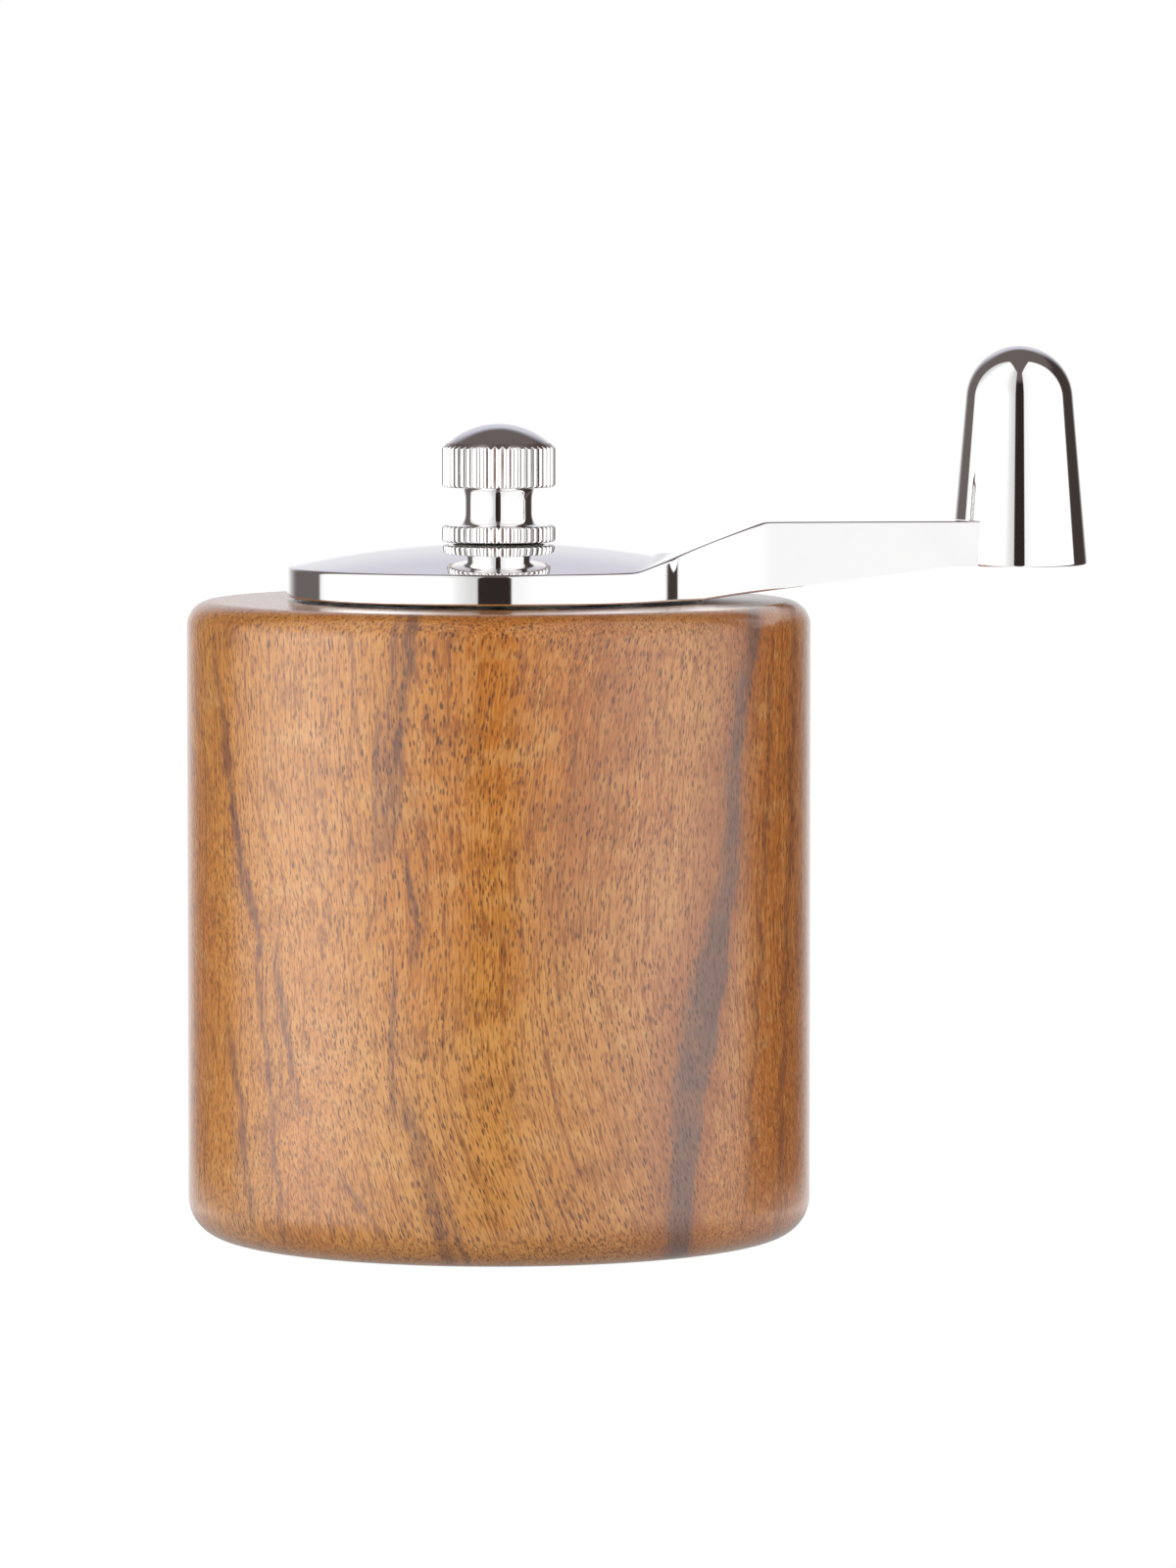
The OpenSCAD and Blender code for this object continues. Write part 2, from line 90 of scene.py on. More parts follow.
studio = {
    # Azimuths are measured from the camera's side, with right positive, in degrees
    "leftBox": dict(inner=11.3, outer=114.0, middle=78.0, innerGlow=34.0, outerGlow=26.0, dim=0.62,
                    hot=2.1, hotMiddle=70.0, hotSpread=30.0),
    "rightBox": dict(inner=6.8, outer=104.0, middle=74.0, innerGlow=30.0, outerGlow=10.0, dim=0.90,
                     hot=0.9, hotMiddle=62.0, hotSpread=26.0),
    "boxLight": 1.10,
    "boxRise": 4.6,  # tangent of a box's highest elevation
    "innerSoft": 0.6,
    "outerSoft": 1.5,
    "topSoft": (-0.8, 1.2),
    "hotRise": (0.0, 20.0),
    "dark": (0.030, 0.022, 0.019),
    "overhead": (0.145, 0.118, 0.112),
    "sideLeft": (0.150, 0.128, 0.122),
    "sideRight": (0.055, 0.042, 0.038),
    "sideBlend": 20.0,
    "sideStart": (90.0, 100.0),
    "overheadRise": (34.0, 48.0),
    "backEdge": (142.0, 170.0),
    "backLow": (1.06, 1.06, 1.07),
    "backMiddle": (0.82, 0.815, 0.85),
    "backHigh": (0.67, 0.66, 0.74),
    "backRise": (0.5, 9.0, 24.0, 30.0, 48.0),
}

floorLook = {"size": 900.0, "drop": 0.05, "light": 0.95, "underLight": 0.48, "nearShade": (31.0, 44.0),
             "fade": (42.0, 85.0)}


def addCamera(view):
    data = bpy.data.cameras.new("studioCamera")
    data.lens = view["lens"]
    data.sensor_width = view["sensor"]
    data.clip_start = 0.01
    data.clip_end = 50.0
    camera = bpy.data.objects.new("studioCamera", data)
    camera.location = Vector(view["place"]) * mm
    camera.rotation_euler = (math.radians(90 - view["pitchDown"]), 0.0, math.radians(-view["yawRight"]))
    bpy.context.scene.collection.objects.link(camera)
    bpy.context.scene.camera = camera


# Small helpers for node trees, from here to stretch
def feed(tree, socket, value):
    # Links the socket to another one, or sets its value
    if isinstance(value, bpy.types.NodeSocket):
        tree.links.new(value, socket)
    else:
        socket.default_value = value


def addNode(tree, kind, inputs=None, **settings):
    node = tree.nodes.new("ShaderNode" + kind)
    for key, value in settings.items():
        setattr(node, key, value)
    for key, value in (inputs or {}).items():
        feed(tree, node.inputs[key], value)
    return node


def calc(tree, operation, *values):
    return addNode(tree, "Math", dict(enumerate(values)), operation=operation).outputs[0]


def mult(tree, first, second):
    return calc(tree, "MULTIPLY", first, second)


def plus(tree, first, second):
    return calc(tree, "ADD", first, second)


def less(tree, first, second):
    return calc(tree, "SUBTRACT", first, second)


def ramp(tree, value, low, high, toLow=0.0, toHigh=1.0):
    inputs = {"Value": value, "From Min": low, "From Max": high, "To Min": toLow, "To Max": toHigh}
    return addNode(tree, "MapRange", inputs, interpolation_type="SMOOTHSTEP", clamp=True).outputs["Result"]


def mixColour(tree, mask, first, second):
    node = addNode(tree, "Mix", {0: mask}, data_type="RGBA", clamp_factor=True)
    for socket, value in ((6, first), (7, second)):
        linked = isinstance(value, bpy.types.NodeSocket)
        feed(tree, node.inputs[socket], value if linked else (*value, 1.0))
    return node.outputs[2]


def noise(tree, place, scale, detail=2.0, rough=0.5, kind="3D", shift=0.0):
    node = addNode(tree, "TexNoise", {"Vector": place, "Scale": scale, "Detail": detail,
                                      "Roughness": rough}, noise_dimensions=kind)
    if kind == "4D":
        node.inputs["W"].default_value = shift
    return node


def stretch(tree, place, factors):
    return addNode(tree, "VectorMath", {0: place, 1: factors}, operation="MULTIPLY").outputs[0]


def addWorld(light):
    world = bpy.data.worlds.new("studioLight")
    bpy.context.scene.world = world
    world.use_nodes = True
    tree = world.node_tree
    tree.nodes.clear()
    way = addNode(tree, "SeparateXYZ", {0: addNode(tree, "TexCoord").outputs["Generated"]})
    turn = calc(tree, "DEGREES", calc(tree, "ARCTAN2", way.outputs["X"],
                                      mult(tree, way.outputs["Y"], -1.0)))
    rise = calc(tree, "DEGREES", calc(tree, "ARCSINE", way.outputs["Z"]))

    def bell(value, middle, spread):
        off = calc(tree, "DIVIDE", less(tree, value, middle), spread)
        return calc(tree, "EXPONENT", mult(tree, mult(tree, off, off), -1.0))

    def softBox(box, sign):
        across = mult(tree, turn, sign)
        inner, outer = box["inner"], box["outer"]
        innerSoft, outerSoft = light["innerSoft"], light["outerSoft"]
        inside = ramp(tree, across, inner - innerSoft, inner + innerSoft)
        outside = ramp(tree, across, outer + outerSoft, outer - outerSoft)
        away = calc(tree, "COSINE", calc(tree, "RADIANS", less(tree, across, box["middle"])))
        top = calc(tree, "DEGREES", calc(tree, "ARCTANGENT", mult(tree, away, light["boxRise"])))
        under = ramp(tree, less(tree, top, rise), *light["topSoft"])
        glow = mult(tree, ramp(tree, across, inner, inner + box["innerGlow"], box["dim"], 1.0),
                    ramp(tree, across, outer, outer - box["outerGlow"], box["dim"], 1.0))
        hot = mult(tree, bell(across, box["hotMiddle"], box["hotSpread"]),
                   bell(rise, *light["hotRise"]))
        level = plus(tree, mult(tree, glow, light["boxLight"]),
                     mult(tree, hot, box["hot"]))
        shape = mult(tree, mult(tree, inside, outside), under)
        return shape, level

    size = calc(tree, "ABSOLUTE", turn)
    low, middle, high, fade, end = light["backRise"]
    wall = mixColour(tree, ramp(tree, rise, low, middle), light["backLow"], light["backMiddle"])
    wall = mixColour(tree, ramp(tree, rise, middle, high), wall, light["backHigh"])
    behind = mult(tree, ramp(tree, size, *light["backEdge"]), ramp(tree, rise, fade, end, 1.0, 0.0))
    blend = light["sideBlend"]
    side = mixColour(tree, ramp(tree, turn, -blend, blend), light["sideLeft"], light["sideRight"])
    room = mixColour(tree, ramp(tree, size, *light["sideStart"]), light["dark"], side)
    room = mixColour(tree, ramp(tree, rise, *light["overheadRise"]), room, light["overhead"])
    room = mixColour(tree, behind, room, wall)
    for box, sign in ((light["leftBox"], -1.0), (light["rightBox"], 1.0)):
        shape, level = softBox(box, sign)
        white = addNode(tree, "CombineXYZ", {"X": level, "Y": level, "Z": level}).outputs[0]
        room = mixColour(tree, shape, room, white)
    lit = addNode(tree, "Background", {"Color": room, "Strength": 1.0})
    white = addNode(tree, "Background", {"Color": (1.0, 1.0, 1.0, 1.0), "Strength": 1.0})
    seen = addNode(tree, "LightPath").outputs["Is Camera Ray"]
    mixed = addNode(tree, "MixShader", {0: seen, 1: lit.outputs[0], 2: white.outputs[0]})
    addNode(tree, "OutputWorld", {"Surface": mixed.outputs[0]})


def addFloor(look):
    bm = bmesh.new()
    bmesh.ops.create_circle(bm, cap_ends=True, segments=64, radius=look["size"] * mm)
    bmesh.ops.translate(bm, verts=bm.verts, vec=(0, 0, -look["drop"] * mm))
    mesh = bpy.data.meshes.new("studioFloor")
    bm.to_mesh(mesh)
    bm.free()
    floor = bpy.data.objects.new("studioFloor", mesh)
    bpy.context.scene.collection.objects.link(floor)
    material = bpy.data.materials.new("paleFloor")
    material.use_nodes = True
    tree = material.node_tree
    tree.nodes.clear()
    place = addNode(tree, "TexCoord").outputs["Object"]
    away = addNode(tree, "VectorMath", {0: place}, operation="LENGTH").outputs["Value"]
    near, far = (edge * mm for edge in look["nearShade"])
    # The floor glows to light the body from below, with painted shade: the glow dims under and near the
    # body like a contact shadow
    bounce = ramp(tree, away, near, far, look["underLight"], look["light"])
    seen = addNode(tree, "LightPath").outputs["Is Camera Ray"]
    strength = calc(tree, "MAXIMUM", bounce, seen)
    glow = addNode(tree, "Emission", {"Color": (1.0, 1.0, 1.0, 1.0), "Strength": strength})
    clear = addNode(tree, "BsdfTransparent")
    facing = addNode(tree, "NewGeometry").outputs["Backfacing"]
    gone = mult(tree, less(tree, 1.0, seen),
                ramp(tree, away, look["fade"][0] * mm, look["fade"][1] * mm))
    through = calc(tree, "MAXIMUM", facing, gone)
    mixed = addNode(tree, "MixShader", {0: through, 1: glow.outputs[0], 2: clear.outputs[0]})
    addNode(tree, "OutputMaterial", {"Surface": mixed.outputs[0]})
    mesh.materials.append(material)


addCamera(cameraView)
addWorld(studio)
addFloor(floorLook)
bpy.context.scene.view_settings.view_transform = "Standard"
print("camera, light and floor made")


def startMaterial(name):
    material = bpy.data.materials.new(name)
    material.use_nodes = True
    tree = material.node_tree
    tree.nodes.clear()
    shader = addNode(tree, "BsdfPrincipled")
    addNode(tree, "OutputMaterial", {"Surface": shader.outputs[0]})
    place = stretch(tree, addNode(tree, "TexCoord").outputs["Object"], (1 / mm,) * 3)
    return material, tree, shader, place


def startGroup(name, inputs, outputs):
    tree = bpy.data.node_groups.new(name, "ShaderNodeTree")
    for label, kind, value in inputs:
        socket = tree.interface.new_socket(label, in_out="INPUT", socket_type="NodeSocket" + kind)
        if value is not None:
            socket.default_value = value
    for label, kind in outputs:
        tree.interface.new_socket(label, in_out="OUTPUT", socket_type="NodeSocket" + kind)
    return tree, tree.nodes.new("NodeGroupInput"), tree.nodes.new("NodeGroupOutput")


def placeGroup(tree, group, inputs):
    return addNode(tree, "Group", inputs, node_tree=group)


streakShape = {
    "leastWidth": 0.05,
    "stainReach": (3.0, 0.4),  # in half widths
    "endSoft": 3.0,
    "frontFade": (-3.0, -9.0),
}
turnedShape = {"riseShare": 1.7, "tone": (0.25, 0.75)}
smudgeShape = {
    "hazeRange": (0.45, 0.75),
    "scratchAxis": (0.3, 0.8, 0.5),
    "scratchTurn": 0.9,
    "scratchStretch": (9.0, 0.25, 9.0),
    "scratchRange": (0.68, 0.76),
}


def makeStreakGroup(shape):
    # A dark vein that climbs the front of the wood along a gentle curve, and the soft stain round it
    numbers = {"Wander": 0.0, "Start": 0.0, "Slope": 0.0, "Bend": 0.0, "Width": 1.0, "Low": -10.0,
               "High": 80.0, "Soft": 0.5}
    inputs = [("Place", "Vector", None)] + [(label, "Float", value) for label, value in numbers.items()]
    tree, given, made = startGroup("woodStreak", inputs, [("Mask", "Float"), ("Halo", "Float")])
    part = addNode(tree, "SeparateXYZ", {0: given.outputs["Place"]})
    height = part.outputs["Z"]
    along = calc(tree, "MULTIPLY_ADD", height, given.outputs["Slope"], given.outputs["Start"])
    curve = mult(tree, mult(tree, height, height), given.outputs["Bend"])
    centre = plus(tree, plus(tree, along, curve), given.outputs["Wander"])
    away = calc(tree, "ABSOLUTE", less(tree, part.outputs["X"], centre))
    off = calc(tree, "DIVIDE", away, calc(tree, "MAXIMUM", given.outputs["Width"], shape["leastWidth"]))
    edge = less(tree, 1.0, given.outputs["Soft"])
    far = plus(tree, 1.0, given.outputs["Soft"])
    body = less(tree, 1.0, ramp(tree, off, edge, far))
    stain = ramp(tree, off, *shape["stainReach"])
    soft = shape["endSoft"]
    low = given.outputs["Low"]
    high = given.outputs["High"]
    rise = ramp(tree, height, less(tree, low, soft), plus(tree, low, soft))
    fall = ramp(tree, height, plus(tree, high, soft), less(tree, high, soft))
    front = ramp(tree, part.outputs["Y"], *shape["frontFade"])
    ends = mult(tree, mult(tree, rise, fall), front)
    tree.links.new(mult(tree, body, ends), made.inputs["Mask"])
    tree.links.new(mult(tree, stain, ends), made.inputs["Halo"])
    return tree


def makeTurnedGroup(shape):
    # Fine rings that a lathe tool leaves round the axis
    tree, given, made = startGroup("turningMarks", [("Place", "Vector", None), ("Pitch", "Float", 0.2)],
                                   [("Height", "Float"), ("Tone", "Float")])
    part = addNode(tree, "SeparateXYZ", {0: given.outputs["Place"]})
    flat = addNode(tree, "CombineXYZ", {"X": part.outputs["X"], "Y": part.outputs["Y"]})
    away = addNode(tree, "VectorMath", {0: flat.outputs[0]}, operation="LENGTH").outputs["Value"]
    both = plus(tree, away, mult(tree, part.outputs["Z"], shape["riseShare"]))
    fine = calc(tree, "DIVIDE", both, given.outputs["Pitch"])
    marks = addNode(tree, "TexNoise", {"W": fine, "Scale": 1.0, "Detail": 3.0}, noise_dimensions="1D")
    tone = ramp(tree, marks.outputs["Fac"], *shape["tone"])
    tree.links.new(marks.outputs["Fac"], made.inputs["Height"])
    tree.links.new(tone, made.inputs["Tone"])
    return tree


def makeSmudgeGroup(shape):
    # Faint cleaning marks and fine hairline scratches on polished metal
    tree, given, made = startGroup("handlingMarks", [("Place", "Vector", None), ("Scale", "Float", 0.12)],
                                   [("Haze", "Float"), ("Scratch", "Float")])
    cloud = noise(tree, given.outputs["Place"], given.outputs["Scale"], 4.0, 0.6)
    haze = ramp(tree, cloud.outputs["Fac"], *shape["hazeRange"])
    bent = addNode(tree, "VectorRotate", {"Vector": given.outputs["Place"], "Axis": shape["scratchAxis"],
                                          "Angle": shape["scratchTurn"]}).outputs[0]
    lines = noise(tree, stretch(tree, bent, shape["scratchStretch"]), 1.0, 2.0, 0.6)
    scratch = ramp(tree, lines.outputs["Fac"], *shape["scratchRange"])
    tree.links.new(haze, made.inputs["Haze"])
    tree.links.new(scratch, made.inputs["Scratch"])
    return tree


streakGroup = makeStreakGroup(streakShape)
turnedGroup = makeTurnedGroup(turnedShape)
smudgeGroup = makeSmudgeGroup(smudgeShape)

woodLook = {
    "gold": (0.570, 0.225, 0.034),
    "amber": (0.500, 0.150, 0.012),
    "tan": (0.640, 0.330, 0.105),
    "brown": (0.255, 0.076, 0.014),
    "vein": (0.095, 0.030, 0.020),
    "veinGrey": (0.180, 0.098, 0.072),
    "stain": (0.335, 0.110, 0.036),
    "pink": (0.480, 0.196, 0.075),
    # A deeper, darker amber for the right edge of the front: the wood's own tone there, with painted shade
    # for the less lit side
    "rightShadedAmber": (0.455, 0.140, 0.020),
    "pore": (0.060, 0.020, 0.010),
    "roughness": 0.42,
    "coatRoughness": 0.19,
    "sway": 3.2,  # how far the fibres wander sideways
    "lean": (-0.330, 0.0041),  # the fibres' slope at the foot, and its gain with height
    "layerScale": 0.085,
    "broadScale": 0.028,
    "figureScale": 0.26,
    "lineStretch": (1.9, 1.9, 0.06),
    "hairStretch": (6.0, 6.0, 0.55),
    "threadStretch": (2.6, 2.6, 0.028),
    "pores": (((2.5, 2.5, 0.60), 0.34, 0.45), ((3.8, 3.8, 0.90), 0.37, 0.25)),  # cell, reach, least
    "poreDark": 0.86,
    "relief": (0.12, 0.05),  # the bump's strength, and its depth in mm
}

# Veins on the front: the line's start and slope, its half width, the heights of its ends, its wander
# and its strength. What most veins share comes first
usualVein = dict(bend=0.0, soft=0.7, colour="vein")
frontVeins = [
    dict(start=-2.2, slope=0.20, width=2.4, low=33, high=63, sway=0.8, strength=0.42,
         bend=0.0008, soft=0.95, colour="stain"),
    dict(start=-17.3, slope=0.156, width=0.62, low=43, high=80, sway=0.5, strength=0.80, bend=-0.0004),
    dict(start=-15.4, slope=0.078, width=0.34, low=43, high=80, sway=0.5, strength=0.62),
    dict(start=-14.9, slope=0.050, width=0.32, low=42, high=56, sway=0.4, strength=0.70),
    dict(start=-4.2, slope=-0.13, width=0.36, low=31, high=41, sway=0.5, strength=0.62),
    dict(start=-19.75, slope=-0.158, width=0.30, low=30, high=62, sway=0.7, strength=0.68),
    dict(start=-16.7, slope=-0.225, width=0.22, low=36, high=53, sway=0.6, strength=0.60),
    dict(start=-21.9, slope=-0.09, width=0.26, low=2, high=40, sway=0.5, strength=0.60),
    dict(start=-5.35, slope=-0.215, width=0.75, low=-9, high=17, sway=0.9, strength=0.82),
    dict(start=-3.3, slope=-0.30, width=0.34, low=-9, high=9, sway=0.6, strength=0.66),
    dict(start=-10.2, slope=-0.025, width=0.36, low=15, high=30, sway=0.5, strength=0.72),
    dict(start=-18.1, slope=-0.148, width=0.34, low=17, high=33, sway=0.4, strength=0.66),
    dict(start=-24.6, slope=-0.139, width=0.34, low=2, high=24, sway=0.4, strength=0.66),
    dict(start=-9.9, slope=-0.69, width=0.34, low=2, high=9, sway=0.5, strength=0.60),
    dict(start=28.6, slope=0.030, width=0.30, low=-9, high=80, sway=0.5, strength=0.50),
    dict(start=25.2, slope=0.045, width=0.26, low=10, high=60, sway=0.6, strength=0.50),
]

# The wide grey streak on the right: its centre and half width at several heights
rightStreak = [
    (-4.0, 18.0, 1.15), (2.0, 18.3, 1.2), (16.0, 19.4, 1.5), (25.0, 20.7, 1.9), (33.0, 22.2, 1.3),
    (41.0, 23.6, 0.85), (52.0, 24.1, 0.65), (64.8, 26.1, 0.60), (70.0, 26.6, 0.6),
]


def curveThrough(tree, value, points, low, high):
    # A smooth curve of value through (value, result) points, both scaled to fit the node
    below, span = 10.0, 100.0  # values run from -below, over the span
    node = addNode(tree, "FloatCurve", {"Value": calc(tree, "DIVIDE", plus(tree, value, below), span)})
    curve = node.mapping.curves[0]
    while len(curve.points) < len(points):
        curve.points.new(0.5, 0.5)
    for point, (at, result) in zip(curve.points, points):
        point.location = ((at + below) / span, (result - low) / (high - low))
    node.mapping.update()
    return calc(tree, "MULTIPLY_ADD", node.outputs["Value"], high - low, low)


def paint(tree, shader, colour, rough):
    tree.links.new(colour, shader.inputs["Base Color"])
    tree.links.new(rough, shader.inputs["Roughness"])


def addBump(tree, shader, strength, depth, height):
    bump = addNode(tree, "Bump", {"Strength": strength, "Distance": depth * mm, "Height": height})
    tree.links.new(bump.outputs[0], shader.inputs["Normal"])


def makeWood(look, veins, streak):
    material, tree, shader, place = startMaterial("lacqueredAcacia")
    part = addNode(tree, "SeparateXYZ", {0: place})
    across, height = part.outputs["X"], part.outputs["Z"]

    # The fibres lean one way at the foot and the other near the top, and wander as they go
    slow = noise(tree, stretch(tree, place, (1.0, 1.0, 0.8)), 0.034, 1.0, 0.4, "4D", 2.3)
    drift = addNode(tree, "VectorMath", {0: slow.outputs["Color"], 1: (0.5, 0.5, 0.5)},
                    operation="SUBTRACT")
    drift = stretch(tree, drift.outputs[0], (look["sway"] * 2.2, look["sway"] * 2.2, 0.0))
    first, gain = look["lean"]
    share = ramp(tree, across, -28.0, 6.0, 0.45, 1.0)
    slope = calc(tree, "MULTIPLY_ADD", mult(tree, height, gain), share, first)
    shear = addNode(tree, "CombineXYZ", {"X": mult(tree, mult(tree, slope, height), -1.0)})
    fibre = addNode(tree, "VectorMath", {0: place, 1: drift}, operation="ADD").outputs[0]
    leant = addNode(tree, "VectorMath", {0: fibre, 1: shear.outputs[0]}, operation="ADD").outputs[0]

    # Broad colour of the growth layers, then fine lines along the fibres
    layers = noise(tree, stretch(tree, fibre, (1.0, 1.0, 0.16)), look["layerScale"],
                   3.0, 0.5, "4D", 7.1).outputs["Fac"]
    broad = noise(tree, place, look["broadScale"], 2.0, 0.5, "4D", 4.7).outputs["Fac"]
    figure = noise(tree, stretch(tree, leant, (0.6, 0.6, 1.2)), look["figureScale"],
                   3.0, 0.6, "4D", 9.2).outputs["Fac"]
    lines = noise(tree, stretch(tree, leant, look["lineStretch"]), 1.0, 4.0, 0.62).outputs["Fac"]
    hairs = noise(tree, stretch(tree, leant, look["hairStretch"]), 1.0, 2.0, 0.5).outputs["Fac"]
    base = mixColour(tree, ramp(tree, layers, 0.36, 0.64), look["amber"], look["gold"])
    base = mixColour(tree, mult(tree, ramp(tree, broad, 0.50, 0.68), 0.35), base, look["tan"])
    base = mixColour(tree, mult(tree, ramp(tree, layers, 0.42, 0.27), 0.55), base, look["brown"])
    frontSide = ramp(tree, part.outputs["Y"], -2.0, -10.0)
    pinkArea = mult(tree, mult(tree, ramp(tree, across, 3.0, 17.0), frontSide),
                    ramp(tree, broad, 0.30, 0.55, 0.35, 0.75))
    base = mixColour(tree, pinkArea, base, look["pink"])
    # Painted shade: the right edge of the front turns a darker amber, as that side gets less light
    base = mixColour(tree, mult(tree, ramp(tree, across, 23.0, 28.0), frontSide), base,
                     look["rightShadedAmber"])
    for field, low, high, amount, colour in (
            (figure, 0.48, 0.32, 0.45, "brown"), (figure, 0.52, 0.68, 0.45, "tan"),
            (lines, 0.49, 0.32, 0.75, "brown"), (lines, 0.53, 0.68, 0.50, "tan"),
            (hairs, 0.49, 0.34, 0.75, "brown"), (hairs, 0.53, 0.68, 0.45, "tan")):
        base = mixColour(tree, mult(tree, ramp(tree, field, low, high), amount), base, look[colour])

    # Thin dark lines crowd together towards both sides of the front
    threads = noise(tree, stretch(tree, fibre, look["threadStretch"]), 1.0,
                    2.0, 0.5, "4D", 6.6).outputs["Fac"]
    sides = calc(tree, "MAXIMUM", ramp(tree, across, -12.0, -24.0), ramp(tree, across, 20.0, 26.0))
    threadMask = mult(tree, ramp(tree, threads, 0.42, 0.32), mult(tree, sides, 0.75))
    base = mixColour(tree, threadMask, base, look["brown"])

    # Veins on the front: ragged along the fibres, each with a soft stain round it
    sideways = less(tree, noise(tree, stretch(tree, place, (0.3, 0.3, 1.0)), 0.16, 4.0, 0.65,
                                "4D", 1.2).outputs["Fac"], 0.5)
    ragged = noise(tree, stretch(tree, place, (5.5, 5.5, 0.50)), 1.0, 3.0, 0.6, "4D", 5.5).outputs["Fac"]
    torn = ramp(tree, ragged, 0.38, 0.54, 0.30, 1.0)
    pulse = ramp(tree, noise(tree, stretch(tree, place, (0.5, 0.5, 1.0)), 0.22, 2.0, 0.6, "4D",
                             8.8).outputs["Fac"], 0.32, 0.56, 0.55, 1.0)
    for vein in ({**usualVein, **own} for own in veins):
        streakNode = placeGroup(tree, streakGroup, {
            "Place": place, "Wander": mult(tree, sideways, vein["sway"] * 6.0),
            "Start": vein["start"], "Slope": vein["slope"], "Bend": vein["bend"], "Width": vein["width"],
            "Low": float(vein["low"]), "High": float(vein["high"]), "Soft": vein["soft"]})
        strength = mult(tree, pulse, vein["strength"])
        halo = mult(tree, mult(tree, streakNode.outputs["Halo"], strength), 0.30)
        base = mixColour(tree, halo, base, look["stain"])
        mask = mult(tree, mult(tree, streakNode.outputs["Mask"], torn), strength)
        base = mixColour(tree, mask, base, look[vein["colour"]])

    # The wide streak: soft on its left, sharp and ragged on its right
    centre = curveThrough(tree, height, [(at, x) for at, x, half in streak], 10.0, 35.0)
    half = curveThrough(tree, height, [(at, half) for at, x, half in streak], 0.0, 3.0)
    nudge = mult(tree, less(tree, ragged, 0.5), 3.0)
    sway = mult(tree, sideways, 1.6)
    away = less(tree, plus(tree, across, nudge), plus(tree, centre, sway))
    rightOff = less(tree, away, half)
    leftOff = less(tree, mult(tree, away, -1.0), half)
    wide = mult(tree, ramp(tree, rightOff, 0.35, -0.35), ramp(tree, leftOff, 0.9, -0.7))
    wide = mult(tree, mult(tree, wide, frontSide), ramp(tree, pulse, 0.55, 1.0, 0.66, 0.92))
    glow = mult(tree, mult(tree, ramp(tree, rightOff, 2.2, 0.0), frontSide),
                mult(tree, ramp(tree, leftOff, 4.5, 0.2), 0.60))
    base = mixColour(tree, glow, base, look["stain"])
    grain = mixColour(tree, ramp(tree, hairs, 0.55, 0.38), look["veinGrey"], look["vein"])
    base = mixColour(tree, wide, base, mixColour(tree, 0.45, look["veinGrey"], grain))
    loose = noise(tree, stretch(tree, fibre, (1.0, 1.0, 0.035)), 0.24, 3.0, 0.55, "4D", 11.0).outputs["Fac"]
    backSide = ramp(tree, part.outputs["Y"], -14.0, 2.0, 0.25, 1.0)
    base = mixColour(tree, mult(tree, mult(tree, ramp(tree, loose, 0.40, 0.31), backSide),
                                torn), base, look["vein"])

    # Open pores: short dark dashes along the fibres, thick in some places and thin in others
    crowd = ramp(tree, noise(tree, place, 0.07, 2.0, 0.5, "4D", 3.0).outputs["Fac"], 0.30, 0.62, 0.70, 1.0)
    poreMask = None
    for cell, reach, least in look["pores"]:
        dots = addNode(tree, "TexVoronoi", {"Vector": stretch(tree, leant, cell), "Scale": 1.0,
                                            "Randomness": 1.0}, feature="F1")
        keep = addNode(tree, "SeparateXYZ", {0: dots.outputs["Color"]}).outputs["X"]
        spot = mult(tree, ramp(tree, dots.outputs["Distance"], reach, reach * 0.45),
                    ramp(tree, keep, 0.05, 0.75, least, 1.0))
        poreMask = spot if poreMask is None else calc(tree, "MAXIMUM", poreMask, spot)
    pores = mult(tree, poreMask, crowd)
    base = mixColour(tree, mult(tree, pores, look["poreDark"]), base, look["pore"])

    paint(tree, shader, base, calc(tree, "MULTIPLY_ADD", pores, 0.10, look["roughness"]))
    shader.inputs["IOR"].default_value = 1.5
    shader.inputs["Specular IOR Level"].default_value = 0.3
    shader.inputs["Coat Weight"].default_value = 1.0
    shader.inputs["Coat Roughness"].default_value = look["coatRoughness"]
    relief = less(tree, mult(tree, hairs, 0.25), pores)
    addBump(tree, shader, *look["relief"], relief)
    return material


def makeMetal(name, colour, roughness, haze=0.03, scratch=0.05, pitch=0.0, marks=0.0, relief=0.0,
              tint=None):
    material, tree, shader, place = startMaterial(name)
    shader.inputs["Metallic"].default_value = 1.0
    wear = placeGroup(tree, smudgeGroup, {"Place": place})
    rough = calc(tree, "MULTIPLY_ADD", wear.outputs["Haze"], haze, roughness)
    rough = calc(tree, "MULTIPLY_ADD", wear.outputs["Scratch"], scratch, rough)
    shade = mixColour(tree, mult(tree, wear.outputs["Haze"], 0.10), colour,
                      tint or tuple(part * 0.8 for part in colour))
    if pitch:
        turned = placeGroup(tree, turnedGroup, {"Place": place, "Pitch": pitch})
        rough = calc(tree, "MULTIPLY_ADD", turned.outputs["Tone"], marks, rough)
        shade = mixColour(tree, mult(tree, turned.outputs["Tone"], 0.25), shade,
                          tuple(part * 0.72 for part in colour))
        addBump(tree, shader, relief, 0.02, turned.outputs["Height"])
    paint(tree, shader, shade, rough)
    return material


chromeLook = dict(colour=(0.93, 0.925, 0.925), roughness=0.035, haze=0.02, scratch=0.03)
# The knurl's colour is painted shade for the roots of its teeth; its rough is their rougher finish
knurlLook = {"colour": (0.50, 0.415, 0.385), "rough": 0.22, "patch": 1.3}


